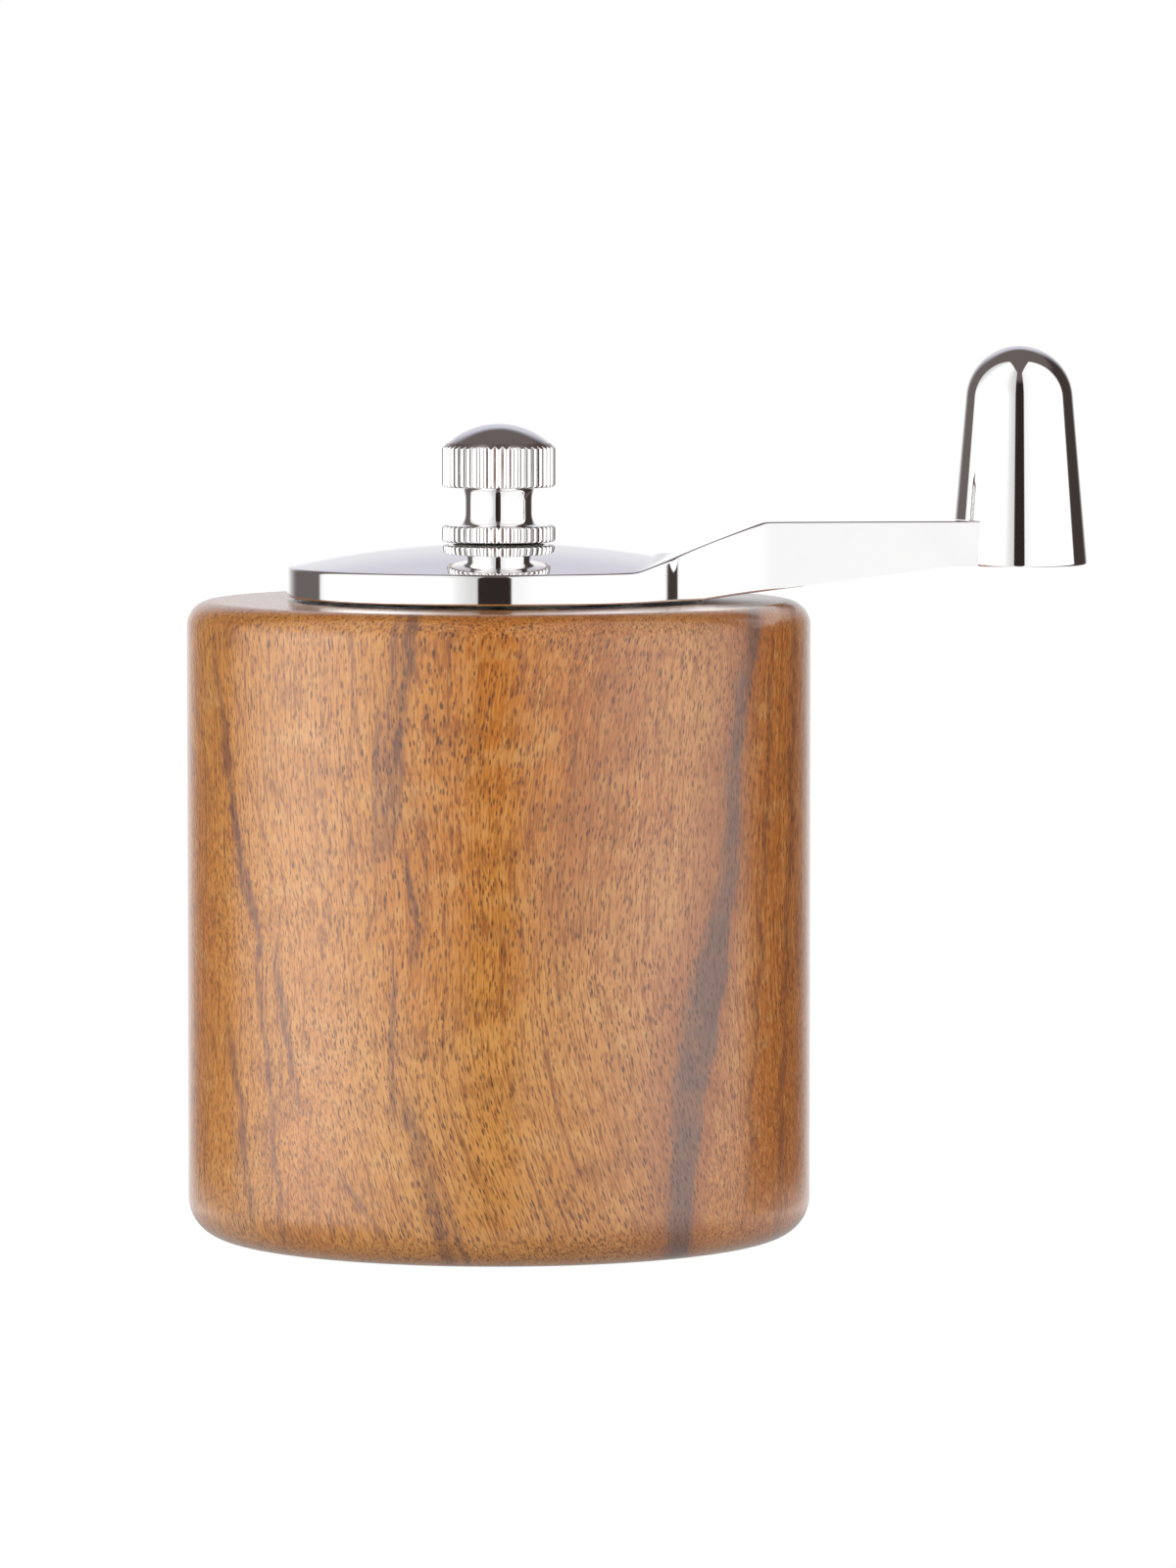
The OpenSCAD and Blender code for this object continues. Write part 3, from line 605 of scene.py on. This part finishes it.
def makeKnurl(look, radius, depth):
    # Chrome with the roots of the teeth rougher and painted darker: painted shade in the recesses between
    # the teeth
    material = makeMetal("knurledChrome", **chromeLook)
    tree = material.node_tree
    shader = next(node for node in tree.nodes if node.bl_idname == "ShaderNodeBsdfPrincipled")
    place = stretch(tree, addNode(tree, "TexCoord").outputs["Object"], (1 / mm,) * 3)
    flat = stretch(tree, place, (1.0, 1.0, 0.0))
    away = addNode(tree, "VectorMath", {0: flat}, operation="LENGTH").outputs["Value"]
    root = mult(tree, ramp(tree, away, radius - 0.35 * depth, radius - 0.95 * depth),
                ramp(tree, away, radius - 2.2 * depth, radius - 1.9 * depth))
    patch = noise(tree, stretch(tree, place, (1.0, 1.0, 0.35)), look["patch"], 2.0, 0.5).outputs["Fac"]
    # Painted shade: the roots darken in patches, and they also grow rougher
    dullAndShadedRoot = mult(tree, root, ramp(tree, patch, 0.30, 0.65, 0.55, 1.0))
    clean = shader.inputs["Base Color"].links[0].from_socket
    tree.links.new(mixColour(tree, dullAndShadedRoot, clean, look["colour"]), shader.inputs["Base Color"])
    rough = shader.inputs["Roughness"].links[0].from_socket
    tree.links.new(calc(tree, "MULTIPLY_ADD", dullAndShadedRoot, look["rough"], rough), shader.inputs["Roughness"])
    return material


def makePlastic(name, colour, roughness, grain, relief, soft=0.0):
    material, tree, shader, place = startMaterial(name)
    fine = noise(tree, place, grain, 3.0, 0.6).outputs["Fac"]
    cloud = noise(tree, place, 0.15, 2.0, 0.5).outputs["Fac"]
    lighter = tuple(min(1.0, part * 1.25 + 0.01) for part in colour)
    shade = mixColour(tree, ramp(tree, cloud, 0.3, 0.7), colour, lighter)
    paint(tree, shader, shade, calc(tree, "MULTIPLY_ADD", fine, 0.12, roughness))
    shader.inputs["Subsurface Weight"].default_value = soft
    shader.inputs["Subsurface Scale"].default_value = 0.5 * mm
    addBump(tree, shader, relief, 0.03, fine)
    return material


finishes = {
    "wood": makeWood(woodLook, frontVeins, rightStreak),
    "chrome": makeMetal("polishedChrome", **chromeLook),
    "steel": makeMetal("turnedSteel", (0.62, 0.61, 0.60), 0.22, haze=0.06, pitch=0.22, marks=0.12,
                       relief=0.25),
    "burr_steel": makeMetal("groundBurrSteel", (0.42, 0.42, 0.43), 0.30, haze=0.08, pitch=0.12, marks=0.15,
                            relief=0.4),
    "spring_steel": makeMetal("drawnWire", (0.55, 0.55, 0.57), 0.25, pitch=0.15, marks=0.1, relief=0.2),
    "brass": makeMetal("turnedBrass", (0.80, 0.56, 0.24), 0.20, haze=0.1, pitch=0.2, marks=0.1, relief=0.25,
                       tint=(0.52, 0.34, 0.16)),
    "nylon": makePlastic("whiteNylon", (0.78, 0.76, 0.68), 0.42, 6.0, 0.2, soft=0.15),
    "dark_plastic": makePlastic("blackCarrier", (0.022, 0.022, 0.024), 0.42, 9.0, 0.35),
}
print("finishes made:", len(finishes))


mergeGap = 0.002 * mm
wallShares = (0.03, 0.25, 0.5, 0.75, 0.97)  # rows up a wall, the outer two close to its ends


def arcPoints(centreX, centreY, radius, fromDeg, toDeg, steps):
    places = []
    for i in range(steps + 1):
        angle = math.radians(fromDeg + (toDeg - fromDeg) * i / steps)
        places.append((centreX + radius * math.cos(angle), centreY + radius * math.sin(angle)))
    return places


def finishPiece(bm, name, body, slot, nodes, sharp=28.0, broken=None):
    bmesh.ops.remove_doubles(bm, verts=bm.verts, dist=mergeGap)
    bmesh.ops.recalc_face_normals(bm, faces=bm.faces)
    for face in bm.faces:
        face.smooth = True
    mesh = bpy.data.meshes.new(name)
    bm.to_mesh(mesh)
    bm.free()
    mesh.set_sharp_from_angle(angle=math.radians(sharp))
    mesh.materials.append(finishes[slot])
    piece = bpy.data.objects.new(name, mesh)
    bpy.context.scene.collection.objects.link(piece)
    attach(piece, body)
    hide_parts(*nodes)
    if broken:
        bevel = piece.modifiers.new("brokenEdges", "BEVEL")
        bevel.width = broken["width"] * mm
        bevel.segments = broken["segments"]
        bevel.angle_limit = math.radians(broken["angle"])
    even = piece.modifiers.new("evenNormals", "WEIGHTED_NORMAL")
    even.mode = "FACE_AREA"
    even.keep_sharp = True
    print("made", name, len(mesh.polygons), "faces")
    return piece


def spinOutline(bm, outline, centre, steps, closed):
    verts = [bm.verts.new((centre[0] + r * mm, centre[1], z * mm)) for r, z in outline]
    pairs = list(zip(verts, verts[1:]))
    if closed:
        pairs.append((verts[-1], verts[0]))
    edges = [bm.edges.new(pair) for pair in pairs]
    bmesh.ops.spin(bm, geom=verts + edges, cent=centre, axis=(0, 0, 1), angle=2 * math.pi,
                   steps=steps, use_merge=True)
    bmesh.ops.remove_doubles(bm, verts=bm.verts, dist=mergeGap)


def growRing(bm, ring, places):
    # Extrudes a closed ring of vertices and puts the new ones at the places given
    count = len(ring)
    edges = [bm.edges.get((ring[i], ring[(i + 1) % count])) for i in range(count)]
    made = bmesh.ops.extrude_edge_only(bm, edges=edges)["geom"]
    fresh = {part for part in made if isinstance(part, bmesh.types.BMVert)}
    grown = []
    for old, place in zip(ring, places):
        new = next(e.other_vert(old) for e in old.link_edges if e.other_vert(old) in fresh)
        new.co = Vector(place) * mm
        grown.append(new)
    return grown


def startRing(bm, places):
    ring = [bm.verts.new(Vector(place) * mm) for place in places]
    for i, vert in enumerate(ring):
        bm.edges.new((vert, ring[(i + 1) % len(ring)]))
    return ring


woodBody = {
    "topRound": 2.6,
    "footRound": 4.1,
    "edge": 0.25,
    "outletRadius": 26.0,
    "outletDeep": 4.0,
    "hopperRadius": 17.0,
    "plateDeep": 1.4,
    "ringPlay": 0.2,
    "carrierPlay": 0.1,
    "platePlay": 0.05,
    "wallGap": 0.3,  # from a round to the wall's first row
    "topGap": 3.0,
    "steps": 240,
    "arcSteps": 14,
    "edgeSteps": 4,
}


def makeWoodBody(shape):
    radius = highOf("wood_body").y
    top = highOf("wood_body").z
    outlet = shape["outletRadius"]
    outletTop = shape["outletDeep"]
    recess = highOf("retaining_ring").y + shape["ringPlay"]
    shoulder = highOf("retaining_ring").z
    carrier = highOf("burr_carrier").y + shape["carrierPlay"]
    carrierTop = highOf("burr_carrier").z
    hopper = shape["hopperRadius"]
    plate = highOf("top_plate").y + shape["platePlay"]
    plateLow = highOf("top_plate").z - shape["plateDeep"]
    edge = shape["edge"]
    foot = shape["footRound"]
    crown = shape["topRound"]
    gap = shape["wallGap"]

    def corner(centreR, centreZ, fromDeg, toDeg):
        return arcPoints(centreR, centreZ, edge, fromDeg, toDeg, shape["edgeSteps"])

    outline = (
        arcPoints(radius - foot, foot, foot, -90, 0, shape["arcSteps"])
        + [(radius, z) for z in (foot + gap, top * 0.25, top * 0.5, top * 0.75, top - crown - gap)]
        + arcPoints(radius - crown, top - crown, crown, 0, 90, shape["arcSteps"])
        + [(plate + edge + shape["topGap"], top)]
        + corner(plate + edge, top - edge, 90, 180)
        + [(plate, plateLow), (hopper + edge, plateLow)]
        + corner(hopper + edge, plateLow - edge, 90, 180)
        + [(hopper, carrierTop), (carrier, carrierTop), (carrier, shoulder), (recess, shoulder)]
        + [(recess, outletTop + edge), (outlet - edge, outletTop), (outlet, outletTop), (outlet, edge)]
        + corner(outlet + edge, edge, 180, 270)
    )
    bm = bmesh.new()
    spinOutline(bm, outline, (0, 0, 0), shape["steps"], True)
    finishPiece(bm, "turnedWoodBody", "body", "wood", ["wood_body"], sharp=35.0)


makeWoodBody(woodBody)


crankShape = {
    "domeRadius": 98.0,
    "rampFoot": -8.0,  # from the cap's edge, along the arm
    "rampHead": 5.4,
    "rootWidth": 14.0,
    "tipWidth": 10.0,
    "rootFillet": 14.0,
    "padRadius": 5.3,
    "padJoin": 106.0,  # degrees from the arm's far end
    "wall": 1.4,
    "armFlat": -1.0,
    "armRise": 7.2,
    "armLow": 3.3,
    "edge": 0.32,
    "lowEdge": 0.15,
    "holeRadius": 3.6,
    "bossRadius": 7.5,
    "creaseDome": 0.22,
    "creaseArm": 0.10,
    "capSteps": 260,
    "filletSteps": 30,
    "sideSteps": 84,
    "padSteps": 40,
    "rimSteps": 6,
    "rings": 56,
    "ceilingRings": 24,
    "holeShare": 0.13,  # how much of the fillet still meets the hole
    "domeReach": 4.0,  # past the cap's edge the top is the arm's alone
    "washerGap": 0.02,
    "lipGap": 0.1,
    "innerRound": (0.6, 0.18),  # its size, and how far in its middle lies
    "bossGap": 0.6,
}


def softMax(a, b, blend):
    return (a + b + math.sqrt((a - b) ** 2 + blend * blend)) / 2


def softMin(a, b, blend):
    return (a + b - math.sqrt((a - b) ** 2 + blend * blend)) / 2


def makeCrank(shape):
    low, high = lowOf("crank"), highOf("crank")
    capR = -low.x
    reach = (lowOf("crank_knob").x + highOf("crank_knob").x) / 2
    armTop = high.z
    apex = lowOf("nut_washer").z - shape["washerGap"]
    domeR = shape["domeRadius"]
    domeZ = apex - domeR
    rim = domeZ + math.sqrt(domeR ** 2 - capR ** 2)
    skirt = low.z
    rootHalf = shape["rootWidth"] / 2
    tipHalf = shape["tipWidth"] / 2
    filletR = shape["rootFillet"]
    filletY = rootHalf + filletR
    filletX = math.sqrt((capR + filletR) ** 2 - filletY ** 2)
    touch = math.degrees(math.atan2(filletY, filletX))
    join = shape["padJoin"]
    lean = math.degrees(math.atan((rootHalf - tipHalf) / (reach - filletX)))
    sideX = filletX - filletR * math.sin(math.radians(lean))
    sideHalf = filletY - filletR * math.cos(math.radians(lean))
    slope = (armTop - rim) / (shape["rampHead"] - shape["rampFoot"])
    rampFootX = capR + shape["rampFoot"]

    def topAt(x, y):
        dome = domeZ + math.sqrt(domeR ** 2 - x * x - y * y)
        climb = softMin(armTop, rim + slope * (x - rampFootX), shape["creaseArm"])
        return softMax(dome, climb, shape["creaseDome"]) if x < capR + shape["domeReach"] else climb

    def lowAt(x):
        flatEnd = capR + shape["armFlat"]
        riseEnd = reach - shape["armRise"]
        part = min(1.0, max(0.0, (x - flatEnd) / (riseEnd - flatEnd)))
        return skirt + shape["armLow"] * part

    def plan(inset):
        places = arcPoints(0, 0, capR - inset, touch, 360 - touch, shape["capSteps"])
        lower = arcPoints(filletX, -filletY, filletR + inset, 180 - touch, 90 + lean,
                          shape["filletSteps"])[1:]
        pad = arcPoints(reach, 0, shape["padRadius"] - inset, -join, join, shape["padSteps"])
        endX = pad[0][0]
        side = []
        for i in range(1, shape["sideSteps"]):
            x = sideX + (endX - sideX) * i / shape["sideSteps"]
            half = sideHalf + (tipHalf - sideHalf) * (x - sideX) / (reach - sideX)
            side.append((x, -(half - inset)))
        mirrored = [(x, -y) for x, y in reversed(lower + side)]
        return places + lower + side + pad + mirrored

    def spine(hole):
        places = arcPoints(0, 0, hole, touch, 360 - touch, shape["capSteps"])
        lower = []
        share = shape["holeShare"]
        for i in range(1, shape["filletSteps"] + 1):
            part = i / shape["filletSteps"]
            if part < share:
                lower += arcPoints(0, 0, hole, -touch * (1 - part / share), 0, 1)[:1]
            else:
                lower.append((hole + (filletX - hole) * (part - share) / (1 - share), 0.0))
        endX = reach + shape["padRadius"] * math.cos(math.radians(join))
        side = [(filletX + (endX - filletX) * i / shape["sideSteps"], 0.0)
                for i in range(1, shape["sideSteps"])]
        pad = [(reach, 0.0)] * (shape["padSteps"] + 1)
        mirrored = [(x, -y) for x, y in reversed(lower + side)]
        return places + lower + side + pad + mirrored

    def skin(inset, drop):
        return [(x, y, topAt(x, y) - drop) for x, y in plan(inset)]

    edge = shape["edge"]
    wall = shape["wall"]
    chamfer = shape["lowEdge"]
    bm = bmesh.new()
    outerRing = startRing(bm, skin(0.0, edge))

    # Over the rounded rim and in across the top
    ring = outerRing
    for i in range(1, shape["rimSteps"] + 1):
        angle = math.radians(90 * i / shape["rimSteps"])
        ring = growRing(bm, ring, skin(edge * (1 - math.cos(angle)), edge * (1 - math.sin(angle))))
    outside = plan(edge)
    inside = spine(shape["holeRadius"])
    for i in range(1, shape["rings"] + 1):
        part = i / shape["rings"]
        places = [(x + (u - x) * part, y + (v - y) * part) for (x, y), (u, v) in zip(outside, inside)]
        ring = growRing(bm, ring, [(x, y, topAt(x, y)) for x, y in places])

    # Down the skirt, round its lower lip and up inside the wall
    ring = outerRing
    for part in wallShares:
        ring = growRing(bm, ring, [(x, y, (topAt(x, y) - edge) * (1 - part) + (lowAt(x) + chamfer) * part)
                                   for x, y in plan(0.0)])
    gap = shape["lipGap"]
    bulge = chamfer * 0.3  # turns each chamfer into a small round
    lip = [(0.0, chamfer), (bulge, bulge), (chamfer, 0.0), (chamfer + gap, 0.0), (wall - chamfer, 0.0),
           (wall - bulge, bulge), (wall, chamfer), (wall, chamfer + gap)]
    for inset, lift in lip:
        ring = growRing(bm, ring, [(x, y, lowAt(x) + lift) for x, y in plan(inset)])
    size, middle = shape["innerRound"]
    ring = growRing(bm, ring, skin(wall, wall + size))
    ring = growRing(bm, ring, skin(wall + middle, wall + middle))
    ring = growRing(bm, ring, skin(wall + size, wall))
    outside = plan(wall + size)
    inside = spine(shape["bossRadius"])
    for i in range(1, shape["ceilingRings"] + 1):
        part = i / shape["ceilingRings"]
        places = [(x + (u - x) * part, y + (v - y) * part) for (x, y), (u, v) in zip(outside, inside)]
        ring = growRing(bm, ring, [(x, y, topAt(x, y) - wall) for x, y in places])
    bmesh.ops.remove_doubles(bm, verts=bm.verts, dist=mergeGap)

    # Two round openings are left: join them by the boss and the bore for the insert
    bossLow = lowOf("drive_insert").z + shape["bossGap"]
    boreR = highOf("drive_insert").y
    boreTop = highOf("drive_insert").z
    between = (shape["holeRadius"] + shape["bossRadius"]) / 2 * mm
    rim1 = [e for e in bm.edges if e.is_boundary and e.verts[0].co.to_2d().length > between]
    for radius, height in ((shape["bossRadius"], bossLow), (boreR, bossLow), (boreR, boreTop),
                           (shape["holeRadius"], boreTop)):
        made = bmesh.ops.extrude_edge_only(bm, edges=rim1)["geom"]
        for vert in [part for part in made if isinstance(part, bmesh.types.BMVert)]:
            flat = vert.co.to_2d().normalized() * radius * mm
            vert.co = (flat.x, flat.y, height * mm)
        rim1 = [part for part in made if isinstance(part, bmesh.types.BMEdge) and part.is_boundary]
    rim2 = [e for e in bm.edges if e.is_boundary and e not in rim1]
    bmesh.ops.bridge_loops(bm, edges=rim1 + rim2)
    finishPiece(bm, "chromeCrank", "crank", "chrome", ["crank"], sharp=40.0)


makeCrank(crankShape)


knobShape = {
    "taper": 5.1,  # degrees
    "wall": 1.3,
    "postRadius": 2.6,
    "footEdge": 0.28,
    "steps": 192,
    "notchSteps": 27,  # columns taken out on each side of the arm
    "ballSteps": 40,
    "footFlat": 0.02,
    "edgeStart": -70.0,  # degrees
    "edgeSteps": 5,
    "footRows": (0.4, 1.2, 2.8),  # above the foot
    "sideRows": 9,
    "ceilingSteps": 12,
    "lip": 0.1,
    "notchGap": 0.05,
    "postGap": 1.0,
}


def makeKnob(shape):
    low, high = lowOf("crank_knob"), highOf("crank_knob")
    centreX = (low.x + high.x) / 2
    footR = (high.x - low.x) / 2
    foot = low.z
    height = high.z - low.z
    taper = math.radians(shape["taper"])
    tan, cos, sin = math.tan(taper), math.cos(taper), math.sin(taper)
    ballR = (footR - height * tan) / (cos - tan + sin * tan)
    ballZ = high.z - ballR
    wall = shape["wall"]
    notchTop = highOf("crank").z + shape["notchGap"]
    edge = shape["footEdge"]

    def sideR(z):
        return footR - (z - foot) * tan

    footFlat = footR - edge - shape["footFlat"]
    outer = [(footFlat, foot)]
    outer += arcPoints(footFlat, foot + edge, edge, shape["edgeStart"], -shape["taper"], shape["edgeSteps"])
    outer += [(sideR(z), z) for z in (*(foot + row for row in shape["footRows"]), notchTop)]
    sideTop = ballZ + ballR * sin
    for i in range(1, shape["sideRows"]):
        z = notchTop + (sideTop - notchTop) * i / shape["sideRows"]
        outer.append((sideR(z), z))
    outer += arcPoints(0, ballZ, ballR, shape["taper"], 90, shape["ballSteps"])
    ceiling = arcPoints(0, ballZ, ballR - wall, shape["taper"], 90, shape["ceilingSteps"])
    post = shape["postRadius"]
    meet = [p for p in ceiling if p[0] > post]
    inner = [(post, notchTop), (post, ballZ + math.sqrt((ballR - wall) ** 2 - post ** 2))]
    inner += list(reversed(meet))
    lip = shape["lip"]
    footIn = sideR(foot) - wall
    inner += [(sideR(notchTop) - wall, notchTop), (footIn, foot + lip), (footIn + lip, foot)]
    bm = bmesh.new()
    centre = (centreX * mm, 0, 0)
    outline = [(0.0, notchTop)] + inner + outer
    spinOutline(bm, outline, centre, shape["steps"], False)

    # Take the notch for the arm out of the wall, then close its cut sides
    half = math.radians(shape["notchSteps"] * 360 / shape["steps"])
    doomed = []
    for face in bm.faces:
        middle = face.calc_center_median()
        angle = math.atan2(middle.y, middle.x - centreX * mm)
        distance = math.hypot(middle.y, middle.x - centreX * mm)
        facing = math.pi - abs(angle) < half
        if facing and middle.z < notchTop * mm - 1e-6 and distance > (post + shape["postGap"]) * mm:
            doomed.append(face)
    bmesh.ops.delete(bm, geom=doomed, context="FACES")
    bmesh.ops.remove_doubles(bm, verts=bm.verts, dist=mergeGap)
    gap = [e for e in bm.edges if e.is_boundary]
    bmesh.ops.holes_fill(bm, edges=gap, sides=0)
    finishPiece(bm, "chromeKnob", "crank", "chrome", ["crank_knob"], sharp=32.0)


makeKnob(knobShape)


nutShape = {
    "teeth": 44,
    "toothDepth": 0.28,
    "toothSteps": 10,
    "lowKnurl": 1.7,
    "neck": 4.0,
    "waist": 3.5,
    "neckFillet": (0.68, 1.35),  # out and up
    "highKnurl": 4.2,
    "domeBase": 5.75,
    "domeRise": 2.4,
    "chamfer": 0.34,
    "recess": 4.8,
    "recessDeep": 0.55,
    "bore": 2.5,
    "boreDeep": 10.6,
    "lip": 0.1,
    "valleyShape": 0.9,  # power of the teeth's cosine
    "uneven": (0.22, 7.3),  # how much the teeth's depth varies, and how fast
    "chamferSteps": 6,
    "filletSteps": 12,
    "domeRows": (13, 0.24, 0.035),  # where the teeth fade: rows, depth of the first, gap
    "domeSteps": 24,
    "poleRadius": 0.02,
}


def makeNut(shape):
    low, high = lowOf("adjust_nut"), highOf("adjust_nut")
    radius = high.y
    foot = low.z
    neckLow = foot + shape["lowKnurl"]
    neckHigh = neckLow + shape["neck"]
    domeLow = neckHigh + shape["highKnurl"]
    ballR = (shape["domeBase"] ** 2 + shape["domeRise"] ** 2) / (2 * shape["domeRise"])
    ballZ = domeLow + shape["domeRise"] - ballR
    out, up = shape["neckFillet"]
    waist = shape["waist"]
    chamfer = shape["chamfer"]
    count = shape["teeth"] * shape["toothSteps"]
    uneven, pace = shape["uneven"]

    def toothAt(i):
        tooth, part = divmod(i, shape["toothSteps"])
        valley = 1 - abs(math.cos(math.pi * part / shape["toothSteps"])) ** shape["valleyShape"]
        depth = shape["toothDepth"] * (1 + uneven * math.sin(tooth * pace))
        return radius - depth * valley

    # Rows of (lathe radius, height, knurled) from the bore, round the outside, to the dome's middle
    bore, recess, lip = shape["bore"], shape["recess"], shape["lip"]
    boreTop = foot + shape["boreDeep"]
    recessTop = foot + shape["recessDeep"]
    rows = [(r, z, False) for r, z in ((shape["poleRadius"], boreTop), (bore, boreTop), (bore, recessTop),
                                       (recess, recessTop), (recess, foot + lip), (recess + lip, foot))]

    def knurlRows(bottom, top, highRound):
        steps = shape["chamferSteps"]
        made = arcPoints(radius - chamfer, bottom + chamfer, chamfer, -90, 0, steps)
        inside = top - bottom - 2 * chamfer
        made += [(radius + lip, bottom + chamfer + inside * share) for share in wallShares]
        if highRound:
            made += arcPoints(radius - chamfer, top - chamfer, chamfer, 0, 90, steps)
        return [(r, z, True) for r, z in made]

    rows += knurlRows(foot, neckLow, True)
    curve = arcPoints(1.0, 1.0, 1.0, -90, -180, shape["filletSteps"])
    rows += [(waist + r * out, neckLow + z * up, False) for r, z in curve]
    rows += [(waist, (neckLow + neckHigh) / 2, False)]
    rows += [(waist + r * out, neckHigh - z * up, False) for r, z in reversed(curve)]
    rows += knurlRows(neckHigh, domeLow, False)
    fadeRows, fadeDrop, fadeGap = shape["domeRows"]
    for k in range(fadeRows):
        z = domeLow - fadeDrop + fadeGap * k
        rows.append((math.sqrt(max(0.0, ballR ** 2 - (z - ballZ) ** 2)), z, True))
    z = rows[-1][1]
    begin = math.degrees(math.asin((z - ballZ) / ballR))
    rows += [(r, h, False) for r, h in arcPoints(0, ballZ, ballR, begin, 89.9, shape["domeSteps"])[1:]]

    bm = bmesh.new()
    ring = None
    for lathe, height, knurled in rows:
        places = []
        for i in range(count):
            angle = 2 * math.pi * i / count
            r = min(lathe, toothAt(i)) if knurled else lathe
            places.append((r * math.cos(angle), r * math.sin(angle), height))
        ring = startRing(bm, places) if ring is None else growRing(bm, ring, places)
    for height in (rows[0][1], rows[-1][1]):
        pole = [v for v in bm.verts if abs(v.co.z - height * mm) < 1e-6 and v.co.to_2d().length < 0.05 * mm]
        bmesh.ops.pointmerge(bm, verts=pole, merge_co=(0, 0, height * mm))
    piece = finishPiece(bm, "knurledNut", "nut", "chrome", ["adjust_nut"], sharp=50.0)
    piece.data.materials[0] = makeKnurl(knurlLook, radius, shape["toothDepth"])


makeNut(nutShape)


# Inner parts: a merged copy of each, with its edges broken
brokenEdge = {"width": 0.09, "segments": 2, "angle": 35.0, "flat": 0.4, "merge": 0.001}
innerParts = {
    "top_plate": "steel", "top_plate_screws": "steel", "top_bearing": "brass", "thrust_washer": "nylon",
    "retaining_ring": "steel", "ring_screws": "steel", "burr_carrier": "dark_plastic",
    "outer_burr": "burr_steel", "guide_bridge": "steel", "guide_bush": "brass", "drive_bush": "brass",
    "bush_clip": "spring_steel", "drive_shaft": "steel", "inner_burr": "burr_steel", "burr_washer": "steel",
    "burr_screw": "steel", "spring_seat": "steel", "burr_spring": "spring_steel", "drive_insert": "steel",
    "knob_screw": "steel", "nut_washer": "nylon",
}
# The spring stays the CAD's own mesh and rides with the shaft, at its full length
keptParts = ["burr_spring"]
bpy.context.view_layer.update()
for nodeName, slotName in innerParts.items():
    node = frame["nodes"][nodeName]
    if nodeName in keptParts:
        for socket in node.material_slots:
            socket.material = finishes[slotName]
        continue
    copied = bmesh.new()
    copied.from_mesh(node.data)
    copied.transform(node.matrix_world)
    bmesh.ops.remove_doubles(copied, verts=copied.verts, dist=brokenEdge["merge"] * mm)
    bmesh.ops.dissolve_limit(copied, angle_limit=math.radians(brokenEdge["flat"]), verts=copied.verts,
                             edges=copied.edges)
    first, *rest = nodeName.split("_")
    pieceName = first + "".join(word.title() for word in rest)
    finishPiece(copied, pieceName, body_of(node)[0], slotName, [nodeName], sharp=35.0,
                broken=brokenEdge)
print("inner parts finished:", len(innerParts))
